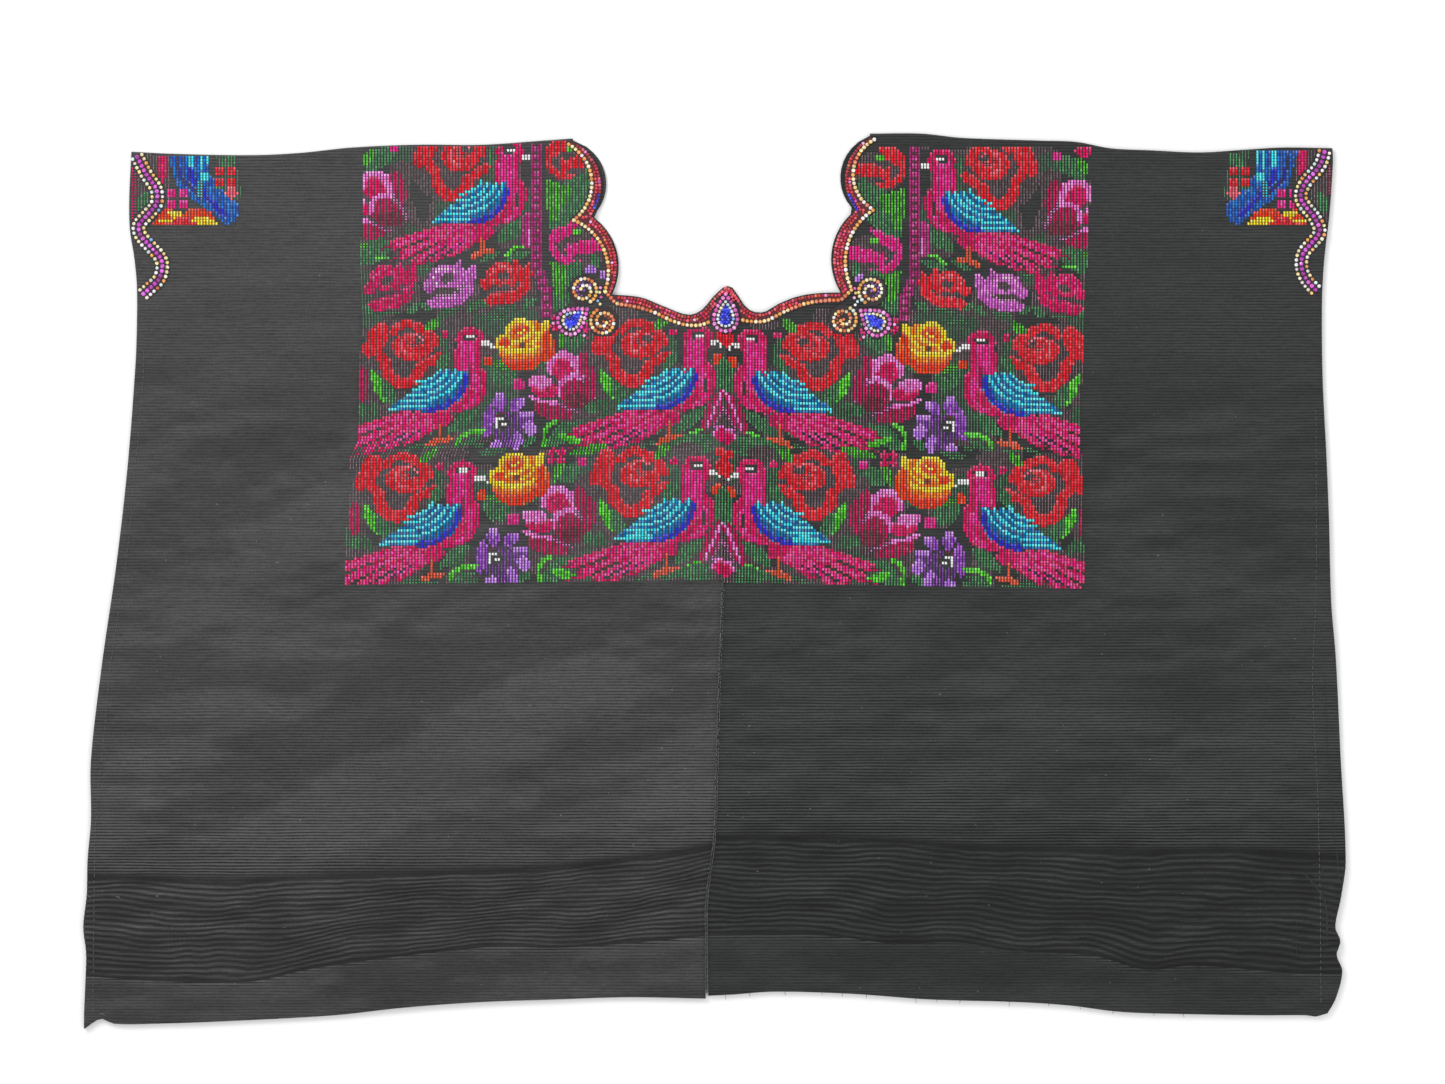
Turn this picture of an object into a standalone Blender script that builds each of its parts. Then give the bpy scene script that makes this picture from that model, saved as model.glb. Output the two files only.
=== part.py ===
"""Huipil blouse laid flat on its back, in metres, +Z up, the neck towards +Y.

Two loom widths are each folded over a shoulder, so that the front lies on the back. Each is sewn to
itself down its side, below the armhole, and the two meet in a seam down the middle. Beaded trims, drops
and scrolls lie on the front.
"""

import math

import bmesh
import bpy
from mathutils import Vector
from mathutils.geometry import delaunay_2d_cdt

MM = 0.001

# Cloth
WALL = 1.2 * MM  # cloth with its brocade
LAYER_GAP = 0.4 * MM  # air between the front and the back
SEAM_GAP = 0.3 * MM  # the two loom widths where they meet
BEND_MIDDLE = (WALL + LAYER_GAP) / 2  # radius of the shoulder fold at the middle of the wall
BEND_OUTER = BEND_MIDDLE + WALL / 2
HALF_BEND = math.pi * BEND_MIDDLE / 2
FRONT_TOP = 2 * BEND_OUTER  # height of the front's face where it lies flat
ARMHOLE_END = 199 * MM  # the side is open above this height
LOWEST_PLAIN = 170 * MM  # no wave reaches above this height, where the trims lie
FULL_WAVE = 90 * MM  # waves have their full height below this one

# Bounds of the garment from its middle, for the places where its faces are shaped
HALF_WIDTH = 455 * MM
HALF_LENGTH = 320 * MM

# How closely each edge and face is followed
SIDE_STEP = 27 * MM
HEM_STEP = 30 * MM
SEAM_STEP = 30 * MM
NECK_STEP = 8 * MM
FOLD_COLUMNS = 15
SCALLOP_STEPS = 8
GRID = 24 * MM
HIDDEN_GRID = 75 * MM
RIM_MARGIN = 7 * MM

# Crinkled band of loose weave above the hem
RIPPLES = 13
RIPPLE_HEIGHT = 0.5 * MM
BAND_COLUMN = 30 * MM
BAND_WAVE = 108 * MM
BAND_WOBBLE = 1.6 * MM
BAND_INSET = 5 * MM

# Beaded work
TRIM_GAP = 0.3 * MM
TRIM_HEIGHT = 1.5 * MM
TRIM_BEVEL = 0.6 * MM
TRIM_BASE = FRONT_TOP + TRIM_GAP
TRIM_STEP = 5.6 * MM
NECK_TRIM_INSET = 1 * MM
STONE_HALF = 1.5 * MM
ARM_TRIM_HALF = 5 * MM
SCROLL_START = 9.4 * MM  # radius of the outer end of a scroll's middle line
SCROLL_END = 2.4 * MM
SCROLL_TURNS = 1.6
SCROLL_CLOSING = 1.4  # above 1 the outer turn stays wide and the inner one closes in
SCROLL_HALF = 1.2 * MM
SCROLL_STEPS = 26
DROP_STEPS = 22

# Outlines, in millimetres from the middle of the garment. Shoulder, hem, neck floor and the edges
# of the band: across, up. Side and seam: up, across. Scallops: across, up, and how far the arc
# from the point before swells into the neck, on the front and on the back. Out is the way to the
# garment's side.
LEFT = {
    "shoulder": [
        (-420, 309.5), (-391, 308), (-335, 307), (-300, 308.5), (-261, 312.5),
        (-215, 314.5), (-167, 314.5), (-123, 317.5), (-102, 319),
    ],
    "side": [
        (308, -420), (275, -421.5), (253, -421), (234, -418), (213, -416), (184, -416),
        (156, -417), (84, -422.5), (14, -430.5), (-59, -441), (-129, -449), (-172, -449),
        (-201, -451.5), (-225, -452), (-249, -454.5), (-268, -452.5), (-288, -453),
        (-312, -454), (-322.5, -454),
    ],
    "hem": [
        (-454, -322.5), (-442, -315), (-433, -318.5), (-401, -318.5), (-346, -316.5),
        (-274, -312.5), (-224, -307), (-169, -303), (-111, -301), (-63, -299.5), (-5.5, -300.5),
    ],
    "neck_floor": [
        (8, 213), (-0.5, 205.5), (-9, 195.5), (-19, 192), (-36.5, 198), (-53, 204.5), (-74, 206.5),
    ],
    "scallops": [(-74, 206.5, 0, 0), (-88, 263, 10.5, 11), (-102, 317.5, 13.5, 16.5)],
    "band_top": [
        (-460, -212), (-346, -215), (-274, -212), (-169, -208.5), (-111, -205), (-39, -196.5),
        (0, -190.5),
    ],
    "band_foot": [
        (-460, -284), (-394, -288.5), (-334, -288.5), (-286, -278.5), (-169, -264),
        (-111, -264), (-63, -261), (-5, -255.5),
    ],
    "out": -1,
}
RIGHT = {
    "shoulder": [
        (112, 322.5), (149, 322.5), (178, 319.5), (234, 317.5), (261, 316.5), (285, 312),
        (314, 310.5), (350, 309), (383, 311), (409, 312.5), (445, 312),
    ],
    "side": [
        (309, 445), (304, 445.5), (266, 443), (230, 439), (200, 437.5), (145, 438), (94, 440.5),
        (44, 442.5), (-14, 444), (-57, 447.5), (-129, 451), (-201, 454.5), (-228, 451),
        (-249, 447), (-259, 450.5), (-269, 448), (-281, 452), (-300, 447.5), (-311, 441.5),
    ],
    "hem": [
        (441.5, -311), (432.5, -313.5), (427, -312.5), (393, -312.5), (333, -311.5),
        (292, -310), (256, -305.5), (220, -303), (154, -301), (98, -297), (43, -295.5),
        (14, -297.5), (-5.5, -298.5),
    ],
    "neck_floor": [
        (8, 213), (13.5, 211), (20.5, 200), (27, 194.5), (36, 194), (45.5, 199.5), (59.5, 205),
        (74.5, 207.5), (91, 208),
    ],
    "scallops": [(91, 208, 0, 0), (101, 267, 11, 11.5), (112, 321, 13, 15.5)],
    "band_top": [
        (-5, -184), (105, -185.5), (206, -192), (297, -194), (381, -193.5), (460, -199.5),
    ],
    "band_foot": [
        (-5, -254), (81, -255.5), (129, -261), (177, -260.5), (213, -266), (273, -270),
        (311, -280), (345, -277), (417, -282.5), (460, -282.5),
    ],
    "out": 1,
}
# Seam down the middle: up, across
SEAM = [
    (213, 8), (-1, 6), (-76, 3.5), (-129, 2), (-184, 0), (-228, -5.5), (-254, -6), (-301, -5.5),
]

# Soft creases of the front. Each runs straight between two points and fades towards its ends:
# across and up of one end, across and up of the other, height, half width. Millimetres.
CREASES = [
    (-365, -175, -85, -45, 1.1, 26),
    (-395, -80, -285, -82, 0.5, 14),
    (-60, -60, 40, -170, 0.5, 34),
    (215, -40, 345, -120, 0.6, 30),
    (300, 60, 425, -30, 0.5, 26),
    (-300, 60, -405, 0, 0.5, 26),
    (425, -195, 438, -245, 1.0, 8),
    (-250, -306, -120, -292, 0.5, 16),
    (120, -290, 300, -298, 0.5, 16),
]

# Neck trims: the row of gold stones, which is farthest from the neck's edge, in millimetres. Gold
# arcs: across, up, and how far the arc from the point before swells. Gold floor: across, up. Rim
# reach: across, where the trim starts and ends on the neck's floor.
NECK_TRIMS = {
    "neck_trim_left": {
        "cut": LEFT,
        "gold_arcs": [(-79, 209, 0), (-101.5, 260, 11.5), (-105, 314.5, 15)],
        "gold_floor": [
            (-4.5, 186.5), (-10, 184.5), (-19, 184.5), (-30.5, 187.5), (-43, 193.5), (-56, 197.5),
            (-71, 200),
        ],
        "rim_reach": (-4.5, -72),
    },
    "neck_trim_right": {
        "cut": RIGHT,
        "gold_arcs": [(99, 210, 0), (114.5, 267.5, 11.5), (115, 318, 15)],
        "gold_floor": [
            (20.5, 188), (27, 187), (37, 187.5), (50, 194), (64, 199.5), (78, 202), (91, 202.5),
        ],
        "rim_reach": (21.5, 88),
    },
}
# Middle line of each arm trim: across, up
ARM_TRIMS = {
    "arm_trim_left": [
        (-415.5, 305.5), (-409, 293), (-402, 282.5), (-401.5, 272.5), (-406, 266), (-413.5, 258),
        (-414.5, 253), (-412, 247.5), (-406, 241), (-399, 233), (-397.5, 226), (-400, 217.5),
        (-406, 211.5), (-411, 207),
    ],
    "arm_trim_right": [
        (439, 309), (437, 302), (432.5, 295), (426.5, 288.5), (422.5, 281), (422.5, 274.5),
        (427, 268), (431.5, 262.5), (435.5, 254), (434.5, 249), (429, 242.5), (424, 236.5),
        (422.5, 229.5), (423.5, 222.5), (427, 216), (432.5, 210),
    ],
}
# Drops: across and up of the round end, radius, length, and the way the tip points in degrees
DROPS = {
    "drop_left": (-103.5, 187, 10.5, 27, 37),
    "drop_centre": (8, 188.5, 10, 30.5, 90),
    "drop_right": (117, 186, 10.5, 27, 143),
}
# Rings of a drop: part of its outline, height above the cloth in millimetres
DROP_RINGS = [
    (1.0, 0), (1.0, 0.9), (0.93, 1.5), (0.80, 1.5), (0.74, 0.8), (0.68, 1.5), (0.56, 1.5),
    (0.50, 0.8), (0.44, 1.7), (0.24, 2.6),
]
# Scrolls: across and up of the middle, direction of the outer end in degrees, way of turning
SCROLLS = {
    "scroll_left_upper": (-94, 209.5, -60, 1),
    "scroll_left_lower": (-80, 187, 120, 1),
    "scroll_right_upper": (113, 209, -120, -1),
    "scroll_right_lower": (93, 188.5, 60, -1),
}

MATERIALS = {  # colour, roughness, metallic
    "cloth": ((0.035, 0.035, 0.037), 0.9, 0.0),
    "trim": ((0.55, 0.03, 0.08), 0.3, 0.2),
    "gold": ((0.85, 0.6, 0.25), 0.2, 0.8),
    "drop": ((0.8, 0.3, 0.65), 0.25, 0.2),
}


def clear_scene():
    for old in list(bpy.data.objects):
        bpy.data.objects.remove(old)


def material(kind, name):
    colour, roughness, metallic = MATERIALS[kind]
    made = bpy.data.materials.new(f"{kind}_{name}")
    made.use_nodes = True
    shader = made.node_tree.nodes["Principled BSDF"]
    shader.inputs["Base Color"].default_value = (*colour, 1)
    shader.inputs["Roughness"].default_value = roughness
    shader.inputs["Metallic"].default_value = metallic
    return made


def finish(bm, name, kind):
    """Turns a closed shape into an object whose faces point out."""
    bmesh.ops.recalc_face_normals(bm, faces=bm.faces)
    mesh = bpy.data.meshes.new(name)
    bm.to_mesh(mesh)
    bm.free()
    mesh.materials.append(material(kind, name))
    made = bpy.data.objects.new(name, mesh)
    bpy.context.collection.objects.link(made)
    return made


def clamp(value):
    return min(1.0, max(0.0, value))


def ease(value):
    value = clamp(value)
    return value * value * (3 - 2 * value)


def curve(table):
    """A smooth curve through a table in millimetres, as a function in metres."""
    rows = sorted((a * MM, b * MM) for a, b in table)
    slopes = []
    for i in range(len(rows)):
        before = rows[max(i - 1, 0)]
        after = rows[min(i + 1, len(rows) - 1)]
        slopes.append((after[1] - before[1]) / (after[0] - before[0]))

    def at(a):
        i = 0
        while i < len(rows) - 2 and a > rows[i + 1][0]:
            i += 1
        (a0, b0), (a1, b1) = rows[i], rows[i + 1]
        span = a1 - a0
        t = clamp((a - a0) / span)
        b = b0 * (1 + 2 * t) * (1 - t) ** 2 + b1 * t * t * (3 - 2 * t)
        return b + span * (slopes[i] * t * (1 - t) ** 2 - slopes[i + 1] * t * t * (1 - t))

    return at


def spaced(start, end, step):
    """Even values from start to end, both included, about a step apart."""
    count = max(1, round(abs(end - start) / step))
    return [start + (end - start) * i / count for i in range(count + 1)]


def marks(table, start, end, step):
    """A table's own values from start to end, with long spans divided into even steps."""
    low, high = min(start, end), max(start, end)
    inner = [row[0] * MM for row in table if low + MM < row[0] * MM < high - MM]
    stops = sorted([start, end] + inner, reverse=start > end)
    values = [start]
    for a, b in zip(stops, stops[1:]):
        values += spaced(a, b, step)[1:]
    return values


def arc(start, end, swell, steps):
    """Points of a round arc after its start, swelling to the side by its depth."""
    start, end = Vector(start), Vector(end)
    half = (end - start).length / 2
    middle = (start + end) / 2
    along = (end - start).normalized()
    across = Vector((along.y, -along.x)) * (1 if swell > 0 else -1)
    depth = abs(swell)
    radius = (half * half + depth * depth) / (2 * depth)
    reach = math.asin(clamp(half / radius))
    if depth > half:
        reach = math.pi - reach
    points = []
    for i in range(1, steps + 1):
        angle = reach * (2 * i / steps - 1)
        rise = radius * math.cos(angle) - (radius - depth)
        points.append(middle + along * radius * math.sin(angle) + across * rise)
    return [(p.x, p.y) for p in points]


def arcs(table, side, column):
    """A chain of arcs through rows of across, up and swell. side is 1 or -1 for the swell."""
    points = [(table[0][0] * MM, table[0][1] * MM)]
    for row in table[1:]:
        end = (row[0] * MM, row[1] * MM)
        points += arc(points[-1], end, side * row[column] * MM, SCALLOP_STEPS)
    return points


def segment_distance(x, y, a, b):
    dx, dy = b[0] - a[0], b[1] - a[1]
    t = clamp(((x - a[0]) * dx + (y - a[1]) * dy) / (dx * dx + dy * dy))
    return math.hypot(x - a[0] - t * dx, y - a[1] - t * dy), t


def lift(x, y):
    """Height of the soft creases of the front at one place."""
    height = 0
    for x0, y0, x1, y1, rise, half in CREASES:
        away, along = segment_distance(x, y, (x0 * MM, y0 * MM), (x1 * MM, y1 * MM))
        height += rise * MM * ease(1 - away / (2 * half * MM)) * (0.45 + 0.55 * math.sin(math.pi * along))
    height += 0.25 * MM * (1 + math.sin(x / (31 * MM) + math.sin(y / (45 * MM))) * math.cos(y / (38 * MM)))
    return height * ease((LOWEST_PLAIN - y) / (LOWEST_PLAIN - FULL_WAVE))


def is_inside(x, s, rim, margin):
    """True for a place within the rim and at least a margin away from it."""
    inside = False
    for i, a in enumerate(rim):
        b = rim[i - 1]
        if segment_distance(x, s, a, b)[0] < margin:
            return False
        if (a[1] > s) != (b[1] > s) and x < (b[0] - a[0]) * (s - a[1]) / (b[1] - a[1]) + a[0]:
            inside = not inside
    return inside


class Cut:
    """One loom width: its outline laid open, and where each of its places lies once it is folded.

    A place is its distance across and its way along the cloth from the shoulder fold, which is
    positive on the front and negative on the back.
    """

    def __init__(self, sizes):
        self.sizes = sizes
        self.out = sizes["out"]
        self.fold = curve(sizes["shoulder"])
        self.side = curve(sizes["side"])
        self.hem = curve(sizes["hem"])
        self.seam = curve(SEAM)
        self.neck_floor = curve(sizes["neck_floor"])
        self.band_top = curve(sizes["band_top"])
        self.band_foot = curve(sizes["band_foot"])

    def along(self, x, y, face):
        return face * (self.fold(x) - BEND_OUTER - y + HALF_BEND)

    def height(self, x, s):
        return self.fold(x) - BEND_OUTER - (abs(s) - HALF_BEND)

    def edge(self, face):
        """Outline of one face, from its side at the fold round to its neck at the fold."""
        sizes = self.sizes
        side_top = self.fold(sizes["side"][0][1] * MM) - BEND_OUTER - 2 * MM
        side_foot = sizes["side"][-1][0] * MM
        open_side = marks(sizes["side"], side_top, ARMHOLE_END, SIDE_STEP)
        sewn_side = marks(sizes["side"], ARMHOLE_END, side_foot, SIDE_STEP)
        points = [(self.side(y), y) for y in open_side[:-1] + sewn_side]
        seam_shift = self.out * SEAM_GAP / 2
        hem_end = self.seam(sizes["hem"][-1][1] * MM) + seam_shift
        points += [(x, self.hem(x)) for x in marks(sizes["hem"], points[-1][0], hem_end, HEM_STEP)[1:]]
        neck_tip = sizes["neck_floor"][0][1] * MM
        points += [(self.seam(y) + seam_shift, y) for y in spaced(points[-1][1], neck_tip, SEAM_STEP)[1:]]
        corner = sizes["neck_floor"][-1][0] * MM
        points += [(x, self.neck_floor(x)) for x in spaced(points[-1][0], corner, NECK_STEP)[1:]]
        column = 2 if face > 0 else 3
        points += arcs(sizes["scallops"], -self.out, column)[1:]
        return points

    def rim(self, wall_side):
        """The laid-open outline, the point on the back that each sewn point of the front meets, and
        the steps round the fold. The inner side of the wall stops short of the sewn edge."""
        front = self.edge(1)
        back = self.edge(-1)
        inset = -self.out * WALL if wall_side < 0 else 0
        sewn = [i for i, (_, y) in enumerate(front) if y <= ARMHOLE_END and i <= self.side_count(front)]

        def open_out(points, face):
            opened = []
            for i, (x, y) in enumerate(points):
                opened.append((x + (inset if i in sewn else 0), self.along(x, y, face)))
            return opened

        bend = [HALF_BEND, HALF_BEND / 2, 0, -HALF_BEND / 2, -HALF_BEND]
        neck_x = self.sizes["scallops"][-1][0] * MM
        side_x = self.sizes["side"][0][1] * MM
        at_neck = [(neck_x, s) for s in bend]
        at_side = [(side_x, -s) for s in bend]
        front_part = open_out(front, 1)[:-1]
        back_part = open_out(back, -1)[:-1]
        rim = front_part + at_neck + back_part[::-1] + at_side
        partner = {i: len(rim) - len(bend) - 1 - i for i in sewn}
        return rim, partner, bend

    def side_count(self, front):
        """Number of the outline's last point on the side."""
        foot = self.sizes["side"][-1][0] * MM
        return next(i for i, (_, y) in enumerate(front) if abs(y - foot) < MM / 100)

    def fold_rows(self, bend):
        neck_x = self.sizes["scallops"][-1][0] * MM
        side_x = self.sizes["side"][0][1] * MM
        columns = spaced(side_x, neck_x, abs(neck_x - side_x) / FOLD_COLUMNS)
        return [[(x, s) for x in columns] for s in bend]

    def band_rows(self, rim):
        """Rows along the crests and hollows of the crinkled band, laid open."""
        rows = []
        count = 2 * RIPPLES
        for k in range(count + 1):
            part = k / count
            row = []
            for x in spaced(self.out * HALF_WIDTH, 0, BAND_COLUMN):
                top, foot = self.band_top(x), self.band_foot(x)
                wobble = math.sin(2 * math.pi * x / BAND_WAVE + 5 * part) * math.sin(math.pi * part)
                y = top + (foot - top) * part + BAND_WOBBLE * wobble
                row.append((x, self.along(x, y, 1)))
            row = [p for p in row if is_inside(*p, rim, BAND_INSET)]
            rows.append(row)
        return rows

    def grid(self, rim, face, step):
        """Places of a plain grid on one face, clear of its rim, the fold and the band."""
        dots = []
        for x in spaced(self.out * HALF_WIDTH, 0, step):
            for y in spaced(HALF_LENGTH, -HALF_LENGTH, step):
                in_band = face > 0 and self.band_foot(x) - RIM_MARGIN < y < self.band_top(x) + RIM_MARGIN
                spot = (x, self.along(x, y, face))
                if not in_band and is_inside(*spot, rim, RIM_MARGIN):
                    dots.append(spot)
        return dots

    def place(self, x, s, wall_side, raised=0):
        """Where a laid-open place lies, on the outer or the inner side of the wall."""
        radius = BEND_MIDDLE + wall_side * WALL / 2
        if abs(s) < HALF_BEND * 1.0001:
            angle = s / BEND_MIDDLE
            y = self.fold(x) - BEND_OUTER + radius * math.cos(angle)
            return (x, y, BEND_OUTER + radius * math.sin(angle))
        z = BEND_OUTER + math.copysign(radius, s)
        return (x, self.height(x, s), z + raised)


def add_face(bm, rim, rows, dots, where):
    """Fills one side of a wall with triangles and returns the corners on its rim, in order."""
    points = list(rim)
    edges = []
    for row in rows:
        first = len(points)
        points += row
        edges += [(first + i, first + i + 1) for i in range(len(row) - 1)]
    points += dots
    outline = [list(range(len(rim)))]
    points = [Vector(p) for p in points]
    inside_only, merge_within = 1, 1e-6
    spots, _, triangles, origins, _, _ = delaunay_2d_cdt(points, edges, outline, inside_only, merge_within)
    verts = [bm.verts.new(where(spot.x, spot.y)) for spot in spots]
    for triangle in triangles:
        bm.faces.new([verts[i] for i in triangle])
    corners = {origin: verts[i] for i, group in enumerate(origins) for origin in group}
    return [corners[i] for i in range(len(rim))]


def make_panel(name, sizes):
    cut = Cut(sizes)
    bm = bmesh.new()
    rim, partner, bend = cut.rim(1)
    ripple_rows = cut.band_rows(rim)
    fold_rows = cut.fold_rows(bend)
    crests = {}
    for k, row in enumerate(ripple_rows):
        for x, s in row:
            crests[(round(x, 5), round(s, 5))] = k % 2

    def outer(x, s):
        raised = 0
        if s > HALF_BEND:
            raised = lift(x, cut.height(x, s))
            raised += RIPPLE_HEIGHT * crests.get((round(x, 5), round(s, 5)), 0)
        return cut.place(x, s, 1, raised)

    def inner(x, s):
        return cut.place(x, s, -1)

    dots = cut.grid(rim, 1, GRID) + cut.grid(rim, -1, HIDDEN_GRID)
    outside = add_face(bm, rim, fold_rows + ripple_rows, dots, outer)
    inner_rim, _, _ = cut.rim(-1)
    dots = cut.grid(inner_rim, 1, HIDDEN_GRID) + cut.grid(inner_rim, -1, HIDDEN_GRID)
    inside = add_face(bm, inner_rim, fold_rows, dots, inner)

    count = len(rim)
    sewn_edges = {(i, i + 1) for i in partner if i + 1 in partner}
    sewn_edges |= {(partner[b], partner[a]) for a, b in sewn_edges}
    for i in range(count):
        j = (i + 1) % count
        if (i, j) not in sewn_edges:
            bm.faces.new([outside[i], outside[j], inside[j], inside[i]])
    for i in partner:
        if i + 1 in partner:
            for corners in (outside, inside):
                bm.faces.new([corners[i], corners[i + 1], corners[partner[i + 1]], corners[partner[i]]])
    for i in (min(partner), max(partner)):
        bm.faces.new([outside[i], inside[i], inside[partner[i]], outside[partner[i]]])
    bmesh.ops.triangulate(bm, faces=bm.faces)
    return finish(bm, name, "cloth")


def bridge(bm, rings):
    """Joins rings of corners one after another and fills the two ends."""
    for a, b in zip(rings, rings[1:]):
        for i in range(len(a)):
            j = (i + 1) % len(a)
            bm.faces.new([a[i], a[j], b[j], b[i]])
    bm.faces.new(rings[0])
    bm.faces.new(rings[-1])


def make_strip(name, kind, outer, inner):
    """A flat band between two lines of the same number of points, its upper edges bevelled."""
    bm = bmesh.new()
    rings = []
    top = TRIM_BASE + TRIM_HEIGHT
    for a, b in zip(outer, inner):
        a, b = Vector(a), Vector(b)
        inward = (b - a).normalized() * TRIM_BEVEL
        section = [(a, TRIM_BASE), (a, top - TRIM_BEVEL), (a + inward, top),
                   (b - inward, top), (b, top - TRIM_BEVEL), (b, TRIM_BASE)]
        rings.append([bm.verts.new((p.x, p.y, z)) for p, z in section])
    bridge(bm, rings)
    bmesh.ops.triangulate(bm, faces=bm.faces)
    return finish(bm, name, kind)


def offset_line(points, distance):
    """The same line moved sideways: a positive distance moves it to its left."""
    moved = []
    for i, point in enumerate(points):
        before = Vector(points[max(i - 1, 0)])
        after = Vector(points[min(i + 1, len(points) - 1)])
        way = (after - before).normalized()
        moved.append((point[0] - way.y * distance, point[1] + way.x * distance))
    return moved


def smooth_line(table, steps):
    """A smooth line through a table of across and up in millimetres."""
    points = [Vector((x * MM, y * MM)) for x, y in table]
    line = []
    for i in range(len(points) - 1):
        p0, p1 = points[max(i - 1, 0)], points[i]
        p2, p3 = points[i + 1], points[min(i + 2, len(points) - 1)]
        for step in range(steps):
            t = step / steps
            spot = p1 * (1 + t * t * (2 * t - 3)) + p2 * t * t * (3 - 2 * t)
            spot += (p2 - p0) / 2 * t * (1 - t) ** 2 - (p3 - p1) / 2 * t * t * (1 - t)
            line.append((spot.x, spot.y))
    return line + [tuple(points[-1])]


def make_neck_trim(name, sizes):
    """Band of stones from the drop in the middle, round the neck's corner and up to the shoulder."""
    cut = Cut(sizes["cut"])
    turn = -cut.out
    rim_start, rim_end = (x * MM for x in sizes["rim_reach"])
    rim = [(x, cut.neck_floor(x)) for x in spaced(rim_start, rim_end, TRIM_STEP)]
    gold_height = curve(sizes["gold_floor"])
    gold_start, gold_end = sizes["gold_floor"][0][0] * MM, sizes["gold_floor"][-1][0] * MM
    gold_step = abs(gold_end - gold_start) / (len(rim) - 1)
    gold = [(x, gold_height(x)) for x in spaced(gold_start, gold_end, gold_step)]
    rim += arcs(sizes["cut"]["scallops"], turn, 2)
    gold += arcs(sizes["gold_arcs"], turn, 2)
    rim = offset_line(rim, turn * NECK_TRIM_INSET)
    gold = offset_line(gold, turn * STONE_HALF)
    return make_strip(name, "trim", rim, gold)


def make_arm_trim(name, table):
    middle = smooth_line(table, 2)
    outer = offset_line(middle, ARM_TRIM_HALF)
    inner = offset_line(middle, -ARM_TRIM_HALF)
    return make_strip(name, "trim", outer, inner)


def drop_outline(radius, length, tip_way):
    """Pear-shaped outline about the middle of its round end."""
    tip_way = math.radians(tip_way)
    points = []
    for i in range(DROP_STEPS):
        t = 2 * math.pi * i / DROP_STEPS
        across = radius * 1.3 * math.sin(t) * abs(math.sin(t / 2)) ** 1.1
        ahead = length / 2 * math.cos(t) + length / 2 - radius
        points.append((ahead * math.cos(tip_way) - across * math.sin(tip_way),
                       ahead * math.sin(tip_way) + across * math.cos(tip_way)))
    return points


def make_drop(name, x, y, radius, length, tip_way):
    bm = bmesh.new()
    outline = drop_outline(radius * MM, length * MM, tip_way)
    rings = []
    for share, rise in DROP_RINGS:
        z = TRIM_BASE + rise * MM
        rings.append([bm.verts.new((x * MM + px * share, y * MM + py * share, z)) for px, py in outline])
    bridge(bm, rings)
    bmesh.ops.triangulate(bm, faces=bm.faces)
    return finish(bm, name, "drop")


def make_scroll(name, x, y, start, turn):
    middle = []
    for i in range(SCROLL_STEPS + 1):
        part = i / SCROLL_STEPS
        radius = SCROLL_START + (SCROLL_END - SCROLL_START) * part ** SCROLL_CLOSING
        angle = math.radians(start) + turn * 2 * math.pi * SCROLL_TURNS * part
        middle.append((x * MM + radius * math.cos(angle), y * MM + radius * math.sin(angle)))
    return make_strip(name, "gold", offset_line(middle, SCROLL_HALF), offset_line(middle, -SCROLL_HALF))


def main():
    clear_scene()
    make_panel("panel_left", LEFT)
    make_panel("panel_right", RIGHT)
    for name, sizes in NECK_TRIMS.items():
        make_neck_trim(name, sizes)
    for name, table in ARM_TRIMS.items():
        make_arm_trim(name, table)
    for name, row in DROPS.items():
        make_drop(name, *row)
    for name, row in SCROLLS.items():
        make_scroll(name, *row)


main()
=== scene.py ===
"""Looks of a huipil blouse laid flat: woven cloth, brocaded birds and roses, stones and stitching.

Each loom width is a fine shell on its solid's form. The brocade is a chart of shapes, worked out
stitch by stitch, and every stitch is a small raised float of thread.
"""

import math

import bmesh
import bpy
import numpy as np
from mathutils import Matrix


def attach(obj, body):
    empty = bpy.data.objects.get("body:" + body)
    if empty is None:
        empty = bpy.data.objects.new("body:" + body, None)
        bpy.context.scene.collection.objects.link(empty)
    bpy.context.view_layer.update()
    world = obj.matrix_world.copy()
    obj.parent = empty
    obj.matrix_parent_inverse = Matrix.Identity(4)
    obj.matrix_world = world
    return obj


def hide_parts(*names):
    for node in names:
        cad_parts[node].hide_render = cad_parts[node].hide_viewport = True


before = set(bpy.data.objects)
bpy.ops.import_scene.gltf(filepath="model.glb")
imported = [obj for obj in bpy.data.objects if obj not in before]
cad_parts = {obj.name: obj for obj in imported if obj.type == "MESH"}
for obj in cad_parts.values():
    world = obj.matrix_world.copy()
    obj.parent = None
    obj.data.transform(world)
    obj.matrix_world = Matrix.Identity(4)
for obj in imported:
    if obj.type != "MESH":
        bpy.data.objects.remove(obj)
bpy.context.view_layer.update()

MM = 0.001
CORNERS = ((-1, -1), (1, -1), (1, 1), (-1, 1))

# The photograph: size of one pixel on the garment, and the pixel at the garment's middle
PIXEL = 0.72 * MM
MIDDLE_PX = (714.5, 581.3)
FRAME_PX = (1445, 1084)
FRAME_MIDDLE_PX = (722.5, 542)
SENSOR = 36
LENS = 85

# Cloth, as in the solids
WALL = 1.2 * MM
LAYER_GAP = 0.4 * MM
SEAM_GAP = 0.3 * MM
BEND_MIDDLE = (WALL + LAYER_GAP) / 2
BEND_OUTER = BEND_MIDDLE + WALL / 2
BEND_INNER = BEND_MIDDLE - WALL / 2
FRONT_TOP = 2 * BEND_OUTER
LOWEST_PLAIN = 170 * MM
FULL_WAVE = 90 * MM

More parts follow.
